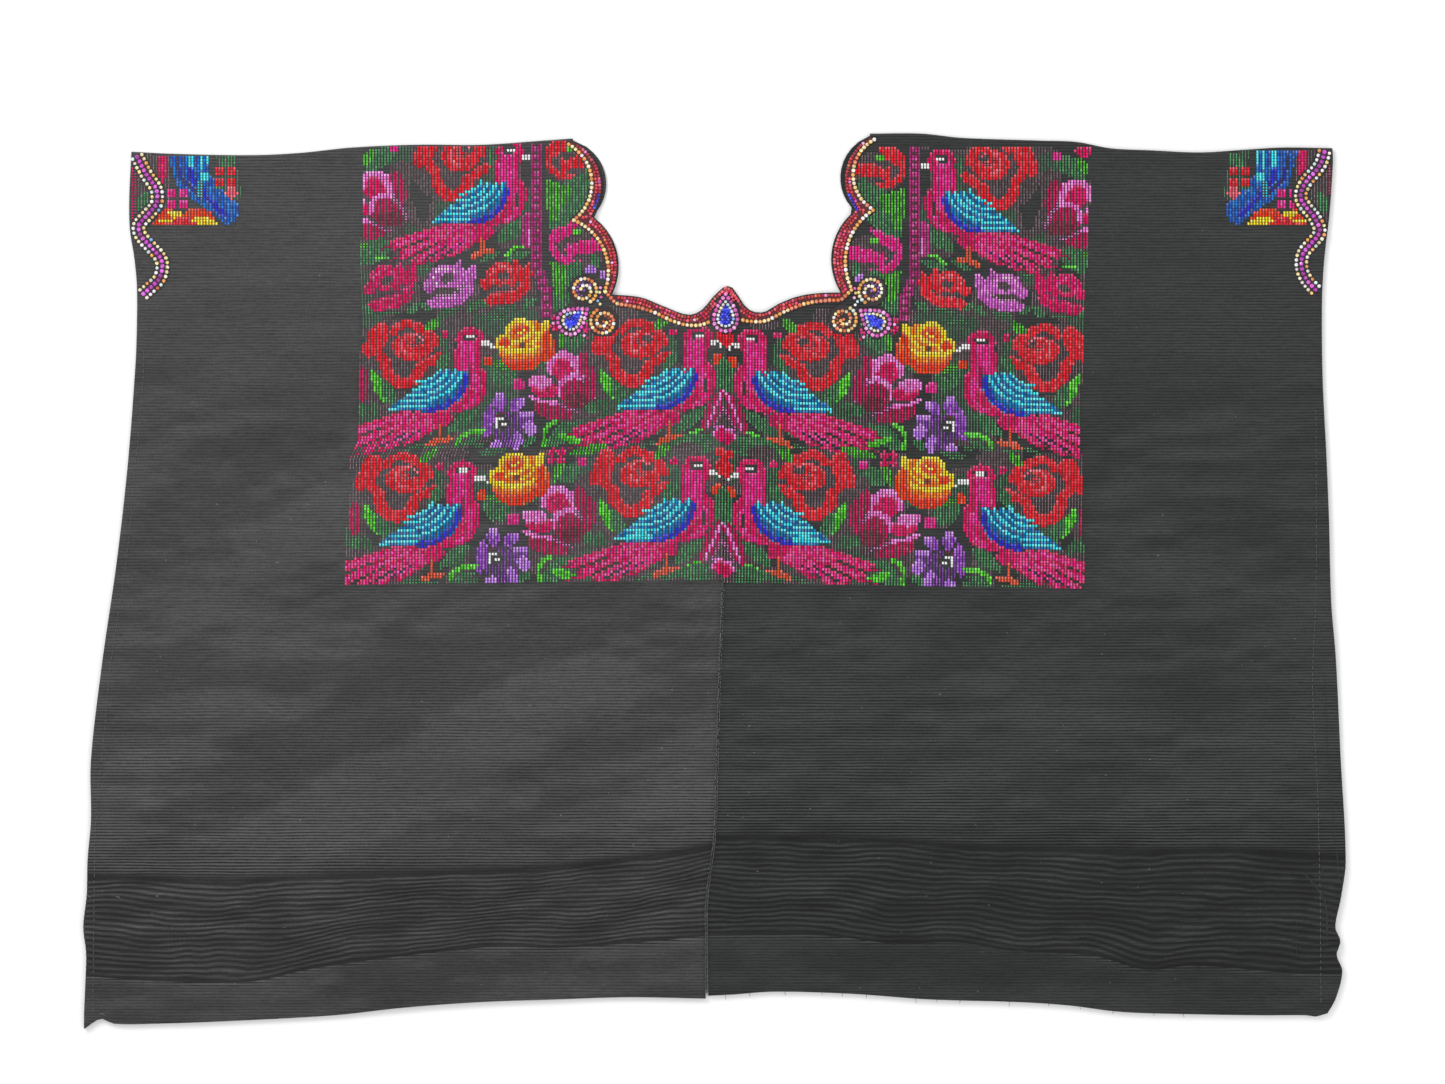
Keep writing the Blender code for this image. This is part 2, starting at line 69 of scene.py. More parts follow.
# How finely the shell is divided
SIDE_COLUMNS = 92
NECK_COLUMNS = 21
FOLD_ROWS = 24
BODY_ROWS = 84
BAND_ROWS = 120
STRIP_ROWS = 9
BACK_SHARE = 4
BEND_ANGLES = (60, 30, 0, -30, -60)
EDGE_STEP = 0.8 * MM
EDGE_DROP = 0.45 * MM
HEM_STEP = 0.02  # share of the hem strip that its last row takes
GRID_PASSES = 6 # rounds in which rows and columns settle on the outline
SHARP_ANGLE = 65
INSIDE_SHADE = 0.8

# Crinkled band of loose weave above the hem
RIPPLES = 19
RIPPLE_HEIGHT = 1.0 * MM
BAND_WAVE = 108 * MM
BAND_WOBBLE = 1.0 * MM

# Weave
RIB = 2.16 * MM
RIB_DEPTH = 0.3 * MM

# Brocade: one stitch across and down, in metres, and the size of the chart in stitches
STITCH = 3 * PIXEL
ROW_SHARE = 0.92
ROW = STITCH * ROW_SHARE
CHART_WIDTH = 124
CHART_HEIGHT = 149
CHART_TOP = (MIDDLE_PX[1] - 140) * PIXEL
FLOAT_HEIGHT = 0.6 * MM
SHADE_HEIGHT = 0.4 * MM

# Beaded work, as in the solids
TRIM_BASE = FRONT_TOP + 0.1 * MM
BACKING = 0.35 * MM
STONE_BASE = TRIM_BASE + BACKING
BACKING_FOOT = FRONT_TOP + 0.05 * MM
SCROLL_START = 9.4 * MM
SCROLL_END = 2.4 * MM
SCROLL_TURNS = 1.6
SCROLL_CLOSING = 1.4

# Outlines in millimetres, the same as in the solids. Shoulder, hem, neck floor and the edges of the
# band: across, up. Side and seam: up, across. Scallops: across, up, swell on the front and the back.
# Creases: start, end, rise, half width. Gold arcs: across, up, swell. Drops: across, up, radius,
# length, degrees of the tip. Scrolls: across, up, degrees of the start, way round.
LEFT = {
    "shoulder": [
        (-420, 309.5), (-391, 308), (-335, 307), (-300, 308.5), (-261, 312.5),
        (-215, 314.5), (-167, 314.5), (-123, 317.5), (-102, 319),
    ],
    "side": [
        (308, -420), (275, -421.5), (253, -421), (234, -418), (213, -416), (184, -416),
        (156, -417), (84, -422.5), (14, -430.5), (-59, -441), (-129, -449), (-172, -449),
        (-201, -451.5), (-225, -452), (-249, -454.5), (-268, -452.5), (-288, -453),
        (-312, -454), (-322.5, -454),
    ],
    "hem": [
        (-454, -322.5), (-442, -315), (-433, -318.5), (-401, -318.5), (-346, -316.5),
        (-274, -312.5), (-224, -307), (-169, -303), (-111, -301), (-63, -299.5), (-5.5, -300.5),
    ],
    "neck_floor": [
        (8, 213), (-0.5, 205.5), (-9, 195.5), (-19, 192), (-36.5, 198), (-53, 204.5), (-74, 206.5),
    ],
    "scallops": [(-74, 206.5, 0, 0), (-88, 263, 10.5, 11), (-102, 317.5, 13.5, 16.5)],
    "band_top": [
        (-460, -212), (-346, -215), (-274, -212), (-169, -208.5), (-111, -205), (-39, -196.5),
        (0, -190.5),
    ],
    "band_foot": [
        (-460, -284), (-394, -288.5), (-334, -288.5), (-286, -278.5), (-169, -264),
        (-111, -264), (-63, -261), (-5, -255.5),
    ],
    "out": -1,
}
RIGHT = {
    "shoulder": [
        (112, 322.5), (149, 322.5), (178, 319.5), (234, 317.5), (261, 316.5), (285, 312),
        (314, 310.5), (350, 309), (383, 311), (409, 312.5), (445, 312),
    ],
    "side": [
        (309, 445), (304, 445.5), (266, 443), (230, 439), (200, 437.5), (145, 438), (94, 440.5),
        (44, 442.5), (-14, 444), (-57, 447.5), (-129, 451), (-201, 454.5), (-228, 451),
        (-249, 447), (-259, 450.5), (-269, 448), (-281, 452), (-300, 447.5), (-311, 441.5),
    ],
    "hem": [
        (441.5, -311), (432.5, -313.5), (427, -312.5), (393, -312.5), (333, -311.5),
        (292, -310), (256, -305.5), (220, -303), (154, -301), (98, -297), (43, -295.5),
        (14, -297.5), (-5.5, -298.5),
    ],
    "neck_floor": [
        (8, 213), (13.5, 211), (20.5, 200), (27, 194.5), (36, 194), (45.5, 199.5), (59.5, 205),
        (74.5, 207.5), (91, 208),
    ],
    "scallops": [(91, 208, 0, 0), (101, 267, 11, 11.5), (112, 321, 13, 15.5)],
    "band_top": [
        (-5, -184), (105, -185.5), (206, -192), (297, -194), (381, -193.5), (460, -199.5),
    ],
    "band_foot": [
        (-5, -254), (81, -255.5), (129, -261), (177, -260.5), (213, -266), (273, -270),
        (311, -280), (345, -277), (417, -282.5), (460, -282.5),
    ],
    "out": 1,
}
SEAM = [
    (213, 8), (-1, 6), (-76, 3.5), (-129, 2), (-184, 0), (-228, -5.5), (-254, -6), (-301, -5.5),
]
CREASES = [
    (-365, -175, -85, -45, 1.1, 26),
    (-395, -80, -285, -82, 0.5, 14),
    (-60, -60, 40, -170, 0.5, 34),
    (215, -40, 345, -120, 0.6, 30),
    (300, 60, 425, -30, 0.5, 26),
    (-300, 60, -405, 0, 0.5, 26),
    (425, -195, 438, -245, 1.0, 8),
    (-250, -306, -120, -292, 0.5, 16),
    (120, -290, 300, -298, 0.5, 16),
]
NECK_TRIMS = {
    "neck_trim_left": {
        "gold_arcs": [(-79, 209, 0), (-101.5, 260, 11.5), (-105, 314.5, 15)],
        "gold_floor": [
            (-4.5, 186.5), (-10, 184.5), (-19, 184.5), (-30.5, 187.5), (-43, 193.5), (-56, 197.5),
            (-71, 200),
        ],
    },
    "neck_trim_right": {
        "gold_arcs": [(99, 210, 0), (114.5, 267.5, 11.5), (115, 318, 15)],
        "gold_floor": [
            (20.5, 188), (27, 187), (37, 187.5), (50, 194), (64, 199.5), (78, 202), (91, 202.5),
        ],
    },
}
ARM_TRIMS = {
    "arm_trim_left": [
        (-415.5, 305.5), (-409, 293), (-402, 282.5), (-401.5, 272.5), (-406, 266), (-413.5, 258),
        (-414.5, 253), (-412, 247.5), (-406, 241), (-399, 233), (-397.5, 226), (-400, 217.5),
        (-406, 211.5), (-411, 207),
    ],
    "arm_trim_right": [
        (439, 309), (437, 302), (432.5, 295), (426.5, 288.5), (422.5, 281), (422.5, 274.5),
        (427, 268), (431.5, 262.5), (435.5, 254), (434.5, 249), (429, 242.5), (424, 236.5),
        (422.5, 229.5), (423.5, 222.5), (427, 216), (432.5, 210),
    ],
}
DROPS = {
    "drop_left": (-103.5, 187, 10.5, 27, 37),
    "drop_centre": (8, 188.5, 10, 30.5, 90),
    "drop_right": (117, 186, 10.5, 27, 143),
}
SCROLLS = {
    "scroll_left_upper": (-94, 209.5, -60, 1),
    "scroll_left_lower": (-80, 187, 120, 1),
    "scroll_right_upper": (113, 209, -120, -1),
    "scroll_right_lower": (93, 188.5, 60, -1),
}

# Threads of the brocade: the shades that one colour name stands for
THREADS = {
    "red": ("#E01828", "#F02838", "#CE1424", "#F23C48"),
    "light_red": ("#F85468", "#FF6C78"),
    "crimson": ("#D80860", "#E01C6C", "#C00652"),
    "pink": ("#E81C84", "#F03C9C", "#DC1478"),
    "light_pink": ("#F59ACB", "#FBB8DC"),
    "orchid": ("#F078C8", "#F490D4", "#E864BC"),
    "orchid_rose": ("#C860C0", "#D87CD0", "#B850B0"),
    "purple": ("#9048B8", "#A85CCC", "#7E3CA8"),
    "violet": ("#B070DC", "#C088E0"),
    "yellow": ("#FFD010", "#FFC41C", "#FFDA40"),
    "orange": ("#FF7A18", "#FF8C28", "#F86C14"),
    "flame": ("#F03818", "#F84C20", "#E23014"),
    "green": ("#4A9058", "#3C8450", "#5CA068"),
    "bright": ("#66D83C", "#52C02C", "#3FA626"),
    "sage": ("#5E8E68", "#4C7E58"),
    "blue": ("#0C7CB8", "#0C6CA8", "#0A5C98"),
    "cyan": ("#30D8F0", "#58E4F8"),
    "deep": ("#2828B8", "#2830C8"),
    "white": ("#F6F6F4", "#FFFFFF"),
    "rust": ("#E05838", "#CC5232"),
    "mauve": ("#84686E", "#745A60", "#927880"),
    "berry": ("#D8187C", "#E83494"),
    "plum": ("#8C2040", "#A02C50"),
    "wine": ("#A82070", "#BC3484"),
    "sea": ("#1C60BC", "#2450A8", "#2478C8"),
}

# Stones: the shades that one name stands for
STONES = {
    "gold": ("#F8D890", "#FFF2D2", "#EFB25A", "#FFE9B0", "#E8A048", "#FFFFFF"),
    "amber": ("#F0A24A", "#F6C070", "#D8703A", "#F8DC9C", "#E88C6A"),
    "red": ("#C4142A", "#9C0E20", "#DA2A3C", "#E4586A", "#B01226"),
    "crimson": ("#C81458", "#A40E48", "#E03478"),
    "pink": ("#DC5CBC", "#F08CD4", "#C844A8", "#F4B0E4"),
    "pearl": ("#EEE6C8", "#FFFFFF", "#E0DCD4", "#F0E090", "#D0E8E0", "#F2E4AC"),
    "magenta": ("#C430C4", "#DC5CDC", "#A01C9C"),
    "blue": ("#1C24C8", "#2A3AE8", "#10148C", "#4A5CFF"),
    "sky": ("#8CB8F0", "#C8E4FA"),
    "rust": ("#B4502E", "#8C3A26", "#D4764A"),
    "purple": ("#6A3494", "#8C50B8"),
}


def linear(text):
    """A colour written as on a screen, in linear light."""
    parts = np.array([int(text[i:i + 2], 16) / 255 for i in (1, 3, 5)])
    return np.where(parts <= 0.04045, parts / 12.92, ((parts + 0.055) / 1.055) ** 2.4)


def shades(table):
    return {name: np.array([linear(text) for text in row]) for name, row in table.items()}


THREAD_SHADES = shades(THREADS)
STONE_SHADES = shades(STONES)


def ease(value):
    value = np.clip(value, 0, 1)
    return value * value * (3 - 2 * value)


def crest(phase):
    """1 on the crest of a ripple and 0 in its hollow."""
    return 0.5 + 0.5 * np.cos(phase)


def curve(table):
    """A smooth curve through a table in millimetres, as a function in metres."""
    rows = np.array(sorted(table)) * MM
    a, b = rows[:, 0], rows[:, 1]
    before = np.maximum(np.arange(len(a)) - 1, 0)
    after = np.minimum(np.arange(len(a)) + 1, len(a) - 1)
    slopes = (b[after] - b[before]) / (a[after] - a[before])

    def at(value):
        i = np.clip(np.searchsorted(a, value) - 1, 0, len(a) - 2)
        span = a[i + 1] - a[i]
        t = np.clip((value - a[i]) / span, 0, 1)
        found = b[i] * (1 + 2 * t) * (1 - t) ** 2 + b[i + 1] * t * t * (3 - 2 * t)
        return found + span * (slopes[i] * t * (1 - t) ** 2 - slopes[i + 1] * t * t * (1 - t))

    return at


def arc(start, end, swell, steps):
    """Points of a round arc after its start, swelling to the side by its depth."""
    start, end = np.array(start), np.array(end)
    half = np.linalg.norm(end - start) / 2
    along = (end - start) / (2 * half)
    across = np.array([along[1], -along[0]]) * np.sign(swell)
    depth = abs(swell)
    radius = (half * half + depth * depth) / (2 * depth)
    reach = math.asin(min(1, half / radius))
    angles = reach * (2 * np.arange(1, steps + 1) / steps - 1)
    rise = radius * np.cos(angles) - (radius - depth)
    return (start + end) / 2 + np.outer(radius * np.sin(angles), along) + np.outer(rise, across)


def arcs(table, side, column, steps=24):
    points = [np.array([table[0][:2]]) * MM]
    for row in table[1:]:
        end = (row[0] * MM, row[1] * MM)
        points.append(arc(points[-1][-1], end, side * row[column] * MM, steps))
    return np.concatenate(points)


def smooth_line(table, steps=8):
    """A smooth line through a table of across and up in millimetres."""
    points = np.array(table) * MM
    t = np.arange(steps)[:, None] / steps
    line = []
    for i in range(len(points) - 1):
        p0, p1 = points[max(i - 1, 0)], points[i]
        p2, p3 = points[i + 1], points[min(i + 2, len(points) - 1)]
        spot = p1 * (1 + t * t * (2 * t - 3)) + p2 * t * t * (3 - 2 * t)
        line.append(spot + (p2 - p0) / 2 * t * (1 - t) ** 2 - (p3 - p1) / 2 * t * t * (1 - t))
    return np.concatenate(line + [points[-1:]])


def travel(line):
    """How far along a line each of its points lies."""
    steps = np.linalg.norm(np.diff(line, axis=0), axis=1)
    return np.concatenate([[0], np.cumsum(steps)])


def places(line, stops):
    """Places on a line at the given distances along it."""
    reach = travel(line)
    return np.stack([np.interp(stops, reach, column) for column in line.T], 1)


def resample(line, count):
    return places(line, np.linspace(0, travel(line)[-1], count))


def even_spots(line, pitch):
    """Places along a line, evenly about a pitch apart, and the way that the line runs at each."""
    length = travel(line)[-1]
    stops = np.linspace(0, length, max(1, round(length / pitch)) + 1)
    way = places(line, stops + pitch / 4) - places(line, stops - pitch / 4)
    return places(line, stops), way / np.linalg.norm(way, axis=1)[:, None]


def offset_line(line, distance):
    """The same line moved to its left by a distance."""
    way = np.gradient(line, axis=0)
    way /= np.linalg.norm(way, axis=1)[:, None]
    return line + np.stack([-way[:, 1], way[:, 0]], 1) * distance


def from_photo(px, py):
    return (px - MIDDLE_PX[0]) * PIXEL, (MIDDLE_PX[1] - py) * PIXEL


def photo_line(points_px):
    """A smooth line through places in pixels of the photograph."""
    return smooth_line([tuple(v / MM for v in from_photo(*px)) for px in points_px])


def field(x, y, across, up, seed):
    """Smooth random values from -1 to 1 in patches of the given size."""
    size = 97
    table = np.random.default_rng(seed).uniform(-1, 1, (size, size))
    u, v = x / across + 31.7, y / up + 47.3
    i, j = np.floor(u).astype(int), np.floor(v).astype(int)
    s, t = ease(u - i), ease(v - j)
    low = table[i % size, j % size] * (1 - s) + table[(i + 1) % size, j % size] * s
    high = table[i % size, (j + 1) % size] * (1 - s) + table[(i + 1) % size, (j + 1) % size] * s
    return low * (1 - t) + high * t


def line_distance(x, y, line):
    """Distance of places from a line of points, and the side: positive on the line's left."""
    best = np.full(np.shape(x), 1e9)
    side = np.zeros(np.shape(x))
    for a, b in zip(line[:-1], line[1:]):
        d = b - a
        t = np.clip(((x - a[0]) * d[0] + (y - a[1]) * d[1]) / (d @ d), 0, 1)
        ox, oy = x - a[0] - t * d[0], y - a[1] - t * d[1]
        away = np.hypot(ox, oy)
        side = np.where(away < best, np.sign(d[0] * oy - d[1] * ox), side)
        best = np.minimum(best, away)
    return best, side


def lift(x, y):
    """Height of the soft creases of the front."""
    height = 0
    for x0, y0, x1, y1, rise, half in CREASES:
        dx, dy = (x1 - x0) * MM, (y1 - y0) * MM
        along = np.clip(((x - x0 * MM) * dx + (y - y0 * MM) * dy) / (dx * dx + dy * dy), 0, 1)
        away = np.hypot(x - x0 * MM - along * dx, y - y0 * MM - along * dy)
        height = height + rise * MM * ease(1 - away / (2 * half * MM)) * (0.45 + 0.55 * np.sin(np.pi * along))
    height += 0.25 * MM * (1 + np.sin(x / (31 * MM) + np.sin(y / (45 * MM))) * np.cos(y / (38 * MM)))
    height += 0.12 * MM * (1 + field(x, y, 24 * MM, 9 * MM, 5))
    return height * ease((LOWEST_PLAIN - y) / (LOWEST_PLAIN - FULL_WAVE))


def surface(x, y):
    """Height of the front's face outside the band."""
    return FRONT_TOP + lift(np.asarray(x, float), np.asarray(y, float))


class Half:
    """One loom width: its outline, and where the rows and columns of its shell lie."""

    def __init__(self, side_name, sizes, seed):
        self.name = side_name
        self.seed = seed
        self.out = sizes["out"]
        self.fold = curve(sizes["shoulder"])
        self.side = curve(sizes["side"])
        self.hem = curve(sizes["hem"])
        self.seam = curve(SEAM)
        self.neck_floor = curve(sizes["neck_floor"])
        self.band_top = curve(sizes["band_top"])
        self.band_foot = curve(sizes["band_foot"])
        self.corner = np.array(sizes["neck_floor"][-1]) * MM
        self.scallop = {1: arcs(sizes["scallops"], -self.out, 2), -1: arcs(sizes["scallops"], -self.out, 3)}

    def neck_edge(self, y, face):
        line = self.scallop[face]
        return np.where(y > self.corner[1], np.interp(y, line[:, 1], line[:, 0]), self.corner[0])

    def band_part(self, x, y):
        """0 at the band's upper edge and 1 at its foot."""
        return (self.band_top(x) - y) / (self.band_top(x) - self.band_foot(x))

    def ripple(self, x, part):
        """Phase and strength of the band's ripples."""
        phase = RIPPLES * part + 0.18 * np.sin(2 * np.pi * x / BAND_WAVE + 5 * part)
        phase += 0.3 * field(x, part, 40 * MM, 0.3, self.seed + 1)
        phase += 0.2 * field(x, part, 12 * MM, 0.11, self.seed + 2)
        strength = ease(part / 0.07) * ease((1 - part) / 0.07)
        strength = strength * (0.72 + 0.28 * field(x, part, 22 * MM, 0.09, self.seed + 3))
        return 2 * np.pi * phase, strength

    def grid(self, face, rows):
        """Places of one face: rows from the fold to the hem, columns from the side to the seam."""
        segment = np.array([row[0] for row in rows])[:, None]
        part = np.array([row[1] for row in rows])[:, None]
        outer = edged(SIDE_COLUMNS, abs(self.side(0) - self.corner[0]))[None, :]
        inner = edged(NECK_COLUMNS, abs(self.corner[0]))[::-1][None, :-1]
        inner = 1 - inner
        columns = SIDE_COLUMNS + NECK_COLUMNS + 1
        x = np.broadcast_to(np.linspace(self.side(0), 0, columns), (len(rows), columns)).copy()
        in_neck = np.arange(columns) > SIDE_COLUMNS
        y = x
        for _ in range(GRID_PASSES):
            top = self.fold(x) - BEND_OUTER
            corner = np.where(in_neck, self.neck_floor(x), self.corner[1])
            stops = [np.where(in_neck, corner, top), corner, self.band_top(x), self.band_foot(x), self.hem(x)]
            low = np.choose(segment, stops[:-1])
            high = np.choose(segment, stops[1:])
            y = low + (high - low) * part
            wobble = np.sin(2 * np.pi * x / BAND_WAVE + 5 * part) * np.sin(np.pi * part)
            y = y + np.where(segment == 2, BAND_WOBBLE * wobble, 0)
            side_y, neck_y = y[:, :SIDE_COLUMNS + 1], y[:, SIDE_COLUMNS + 1:]
            side, neck = self.side(side_y), self.neck_edge(side_y, face)
            seam = self.seam(neck_y) + self.out * SEAM_GAP / 2
            under_neck = self.corner[0] + (seam - self.corner[0]) * inner
            x = np.concatenate([side + (neck - side) * outer, under_neck], 1)
        return x, y, np.broadcast_to(segment, x.shape), np.broadcast_to(part, x.shape)


def edged(count, width):
    """Even parts of a width, with one narrow step at its start."""
    return np.concatenate([[0], EDGE_STEP / width + (1 - EDGE_STEP / width) * np.linspace(0, 1, count)])


def shell_rows(share):
    """Rows of one face from the fold to the hem: the stretch that each is in, and its part of it."""
    rows = []
    for segment, count in enumerate((FOLD_ROWS, BODY_ROWS, BAND_ROWS, STRIP_ROWS)):
        count = max(2, count // share) if segment else count
        rows += [(segment, i / count) for i in range(count)]
    return rows + [(3, 1 - HEM_STEP), (3, 1)]


def make_object(name, points, faces, material, smooth=True, sharp=None):
    mesh = bpy.data.meshes.new(name)
    mesh.from_pydata(np.asarray(points).tolist(), [], faces if isinstance(faces, list) else faces.tolist())
    mesh.materials.append(material)
    mesh.polygons.foreach_set("use_smooth", np.full(len(mesh.polygons), smooth))
    if sharp:
        mesh.set_sharp_from_angle(angle=math.radians(sharp))
    made = bpy.data.objects.new(name, mesh)
    bpy.context.collection.objects.link(made)
    return made


def colour_points(piece, name, colours, alpha=1):
    layer = piece.data.color_attributes.new(name=name, type="FLOAT_COLOR", domain="POINT")
    filled = np.concatenate([colours, np.broadcast_to(alpha, len(colours))[:, None]], 1)
    layer.data.foreach_set("color", filled.ravel().astype(np.float32))


def make_cloth(half, material):
    """The shell of one loom width, front and back in one piece round the shoulder fold."""
    rows = shell_rows(1)
    x, y, segment, part = half.grid(1, rows)
    in_band = segment == 2
    phase, strength = half.ripple(x, part)
    raised = lift(x, y)
    raised += np.where(in_band, RIPPLE_HEIGHT * strength * crest(phase), 0)
    rim_drop = np.zeros(x.shape)
    rim_drop[:, 0] = rim_drop[:, -1] = rim_drop[-1] = EDGE_DROP
    rim_drop[FOLD_ROWS, SIDE_COLUMNS:] = EDGE_DROP
    rim_drop[:FOLD_ROWS, SIDE_COLUMNS] = EDGE_DROP
    front_out = np.stack([x, y, FRONT_TOP + raised - rim_drop], 2)
    front_in = np.stack([x, y, FRONT_TOP - WALL + raised], 2)

    bx, by, _, _ = half.grid(-1, shell_rows(BACK_SHARE))
    back_drop = np.zeros(bx.shape)
    back_drop[:, 0] = back_drop[:, -1] = back_drop[-1] = EDGE_DROP / 2
    back_out = np.stack([bx, by, back_drop], 2)
    back_in = np.stack([bx, by, np.full(bx.shape, WALL)], 2)

    bend_out, bend_in = [], []
    for degrees in BEND_ANGLES:
        angle = math.radians(degrees)
        for bend, radius in ((bend_out, BEND_OUTER), (bend_in, BEND_INNER)):
            up = half.fold(x[0]) - BEND_OUTER + radius * math.cos(angle)
            z = np.full(len(up), BEND_OUTER + radius * math.sin(angle))
            bend.append(np.stack([x[0], up, z], 1))
    outer = np.concatenate([front_out[::-1], bend_out, back_out])
    inner = np.concatenate([front_in[::-1], bend_in, back_in])

    row_count, column_count = outer.shape[:2]
    cell_rows, cell_columns = np.indices((row_count - 1, column_count - 1))
    first_bend = len(rows)
    front_end = first_bend - 1 - FOLD_ROWS
    back_start = first_bend + len(BEND_ANGLES) + FOLD_ROWS
    beside_neck = (cell_rows >= front_end) & (cell_rows < back_start)
    kept = ~(beside_neck & (cell_columns >= SIDE_COLUMNS))
    index = np.arange(row_count * column_count).reshape(row_count, column_count)
    quads = np.stack([index[:-1, :-1], index[:-1, 1:], index[1:, 1:], index[1:, :-1]], 2)[kept]
    if half.out > 0:
        quads = quads[:, ::-1]
    edges = np.concatenate([quads[:, [i, (i + 1) % 4]] for i in range(4)])
    total = row_count * column_count
    rim = edges[~np.isin(edges[:, 0] * total + edges[:, 1], edges[:, 1] * total + edges[:, 0])]
    walls = np.stack([rim[:, 1], rim[:, 0], rim[:, 0] + total, rim[:, 1] + total], 1)
    faces = np.concatenate([quads, quads[:, ::-1] + total, walls])

    bend_x, bend_y = [np.repeat(values[:1], len(BEND_ANGLES), 0) for values in (x, y)]
    tint = np.concatenate([
        front_tint_and_shade(half, x, y, in_band, part, phase, strength)[::-1],
        plain_tint(half, bend_x, bend_y),
        plain_tint(half, bx, by),
    ]).reshape(-1, 3)
    points = np.concatenate([outer.reshape(-1, 3), inner.reshape(-1, 3)])
    tint = np.concatenate([tint, tint * INSIDE_SHADE])
    ribs = np.full(len(points), RIBS[half.name])
    ribs[:x.size] = rib_strength(half, x, y, in_band)[::-1].ravel()
    used = np.zeros(len(points), bool)
    used[faces.ravel()] = True
    order = np.cumsum(used) - 1
    cloth = make_object(f"cloth_{half.name}", points[used], order[faces], material, sharp=SHARP_ANGLE)
    # The tint is the colour with its painted light and shade; its alpha is the strength of the ribs' painted
    # light and shade
    colour_points(cloth, "tint", tint[used], ribs[used])
    return cloth


# Cloth: colour of the ground, strength of the ribs' painted light and shade, and shares of light: painted
# shade and highlights of the band and painted shade under the brocade
GROUND = {"left": linear("#3D3D3E"), "right": linear("#2F3030")}
# Strength of the ribs' painted light and shade on each half
RIBS = {"left": 0.3, "right": 0.42}
BAND_RIBS = 0.15
FOOT_RIBS = 0.3  # share of the strength elsewhere
# Painted shade in the hollows of the band's ripples, and the painted highlight added on their crests
HOLLOW_SHADE = 0.4
CREST_HIGHLIGHT = 1.3
CREST_POWER = 1.4
# Painted shade over the whole crinkled band
BAND_SHADE = 0.74
FOOT_SHADE = {"left": 0.86, "right": 0.79}
# Painted shade of the cloth under the brocade, between its floats
BROCADE_SHADE = 0.85
BROCADE_FADE = 3 * MM


def plain_tint(half, x, y):
    patch = 1 + 0.10 * field(x, y, 60 * MM, 14 * MM, half.seed + 11)
    patch += 0.07 * field(x, y, 150 * MM, 3.2 * MM, half.seed + 12)
    return GROUND[half.name] * patch[..., None]


def rib_strength(half, x, y, in_band):
    """How strongly the ribs' painted light and shade stand out: most just above the band, little under it,
    least in it.
    """
    low = ease((20 * MM - y) / (180 * MM))
    strength = RIBS[half.name] + 0.35 * low + 0.12 * field(x, y, 70 * MM, 30 * MM, half.seed + 31)
    strength += 0.3 * ease(1 - (y - half.band_top(x)) / (60 * MM))
    strength = strength * np.where(y < half.band_foot(x), FOOT_RIBS, 1)
    return np.where(in_band, BAND_RIBS, strength)


def brocade_shade(half, x, y):
    """1 where the brocade covers the cloth, fading over a few millimetres; the cloth there gets painted
    shade.
    """
    down = (CHART_TOP - y) / STITCH
    reach = (CHART_WIDTH - chart_edge(half, down)) * STITCH
    away = abs(x - half.seam(y))
    return ease((reach - away) / BROCADE_FADE) * ease((y - CHART_FOOT) / BROCADE_FADE)


def front_tint_and_shade(half, x, y, in_band, part, phase, strength):
    """Colour of the front, which is darker under the brocade, in the band and in its hollows: painted shade
    there, with painted highlights on the band's crests, painted light and shade on the creases' slopes and
    painted shade along the seam.
    """
    tint = plain_tint(half, x, y)
    # Painted shade under the brocade
    shade = 1 - (1 - BROCADE_SHADE) * brocade_shade(half, x, y)
    # Painted shade in the band's hollows and painted highlights on its crests
    hollow = HOLLOW_SHADE + CREST_HIGHLIGHT * crest(phase) ** CREST_POWER * strength
    loose = 1 + 0.16 * field(x, part, 30 * MM, 0.2, half.seed + 21)
    shade = shade * np.where(in_band, BAND_SHADE * hollow * loose, 1)
    below = half.band_foot(x) - y
    shade = shade * np.where((below > 0) & ~in_band, FOOT_SHADE[half.name], 1)
    above = (y - half.band_top(x)) / (30 * MM)
    shade = shade * (1 - 0.2 * ease(1 - above / 1.3) * (above > 0))
    # Painted light and shade on the creases' slopes
    crease = lift(x + 1.5 * MM, y - 3 * MM) - lift(x - 1.5 * MM, y + 3 * MM)
    shade = shade * np.clip(1 - crease / (0.35 * MM), 0.8, 1.15)
    # Painted shade along the seam between the two loom widths
    seam = abs(x - half.seam(y))
    shade = shade * (1 - 0.4 * np.exp(-(seam / (1.1 * MM)) ** 2))
    return tint * shade[..., None]


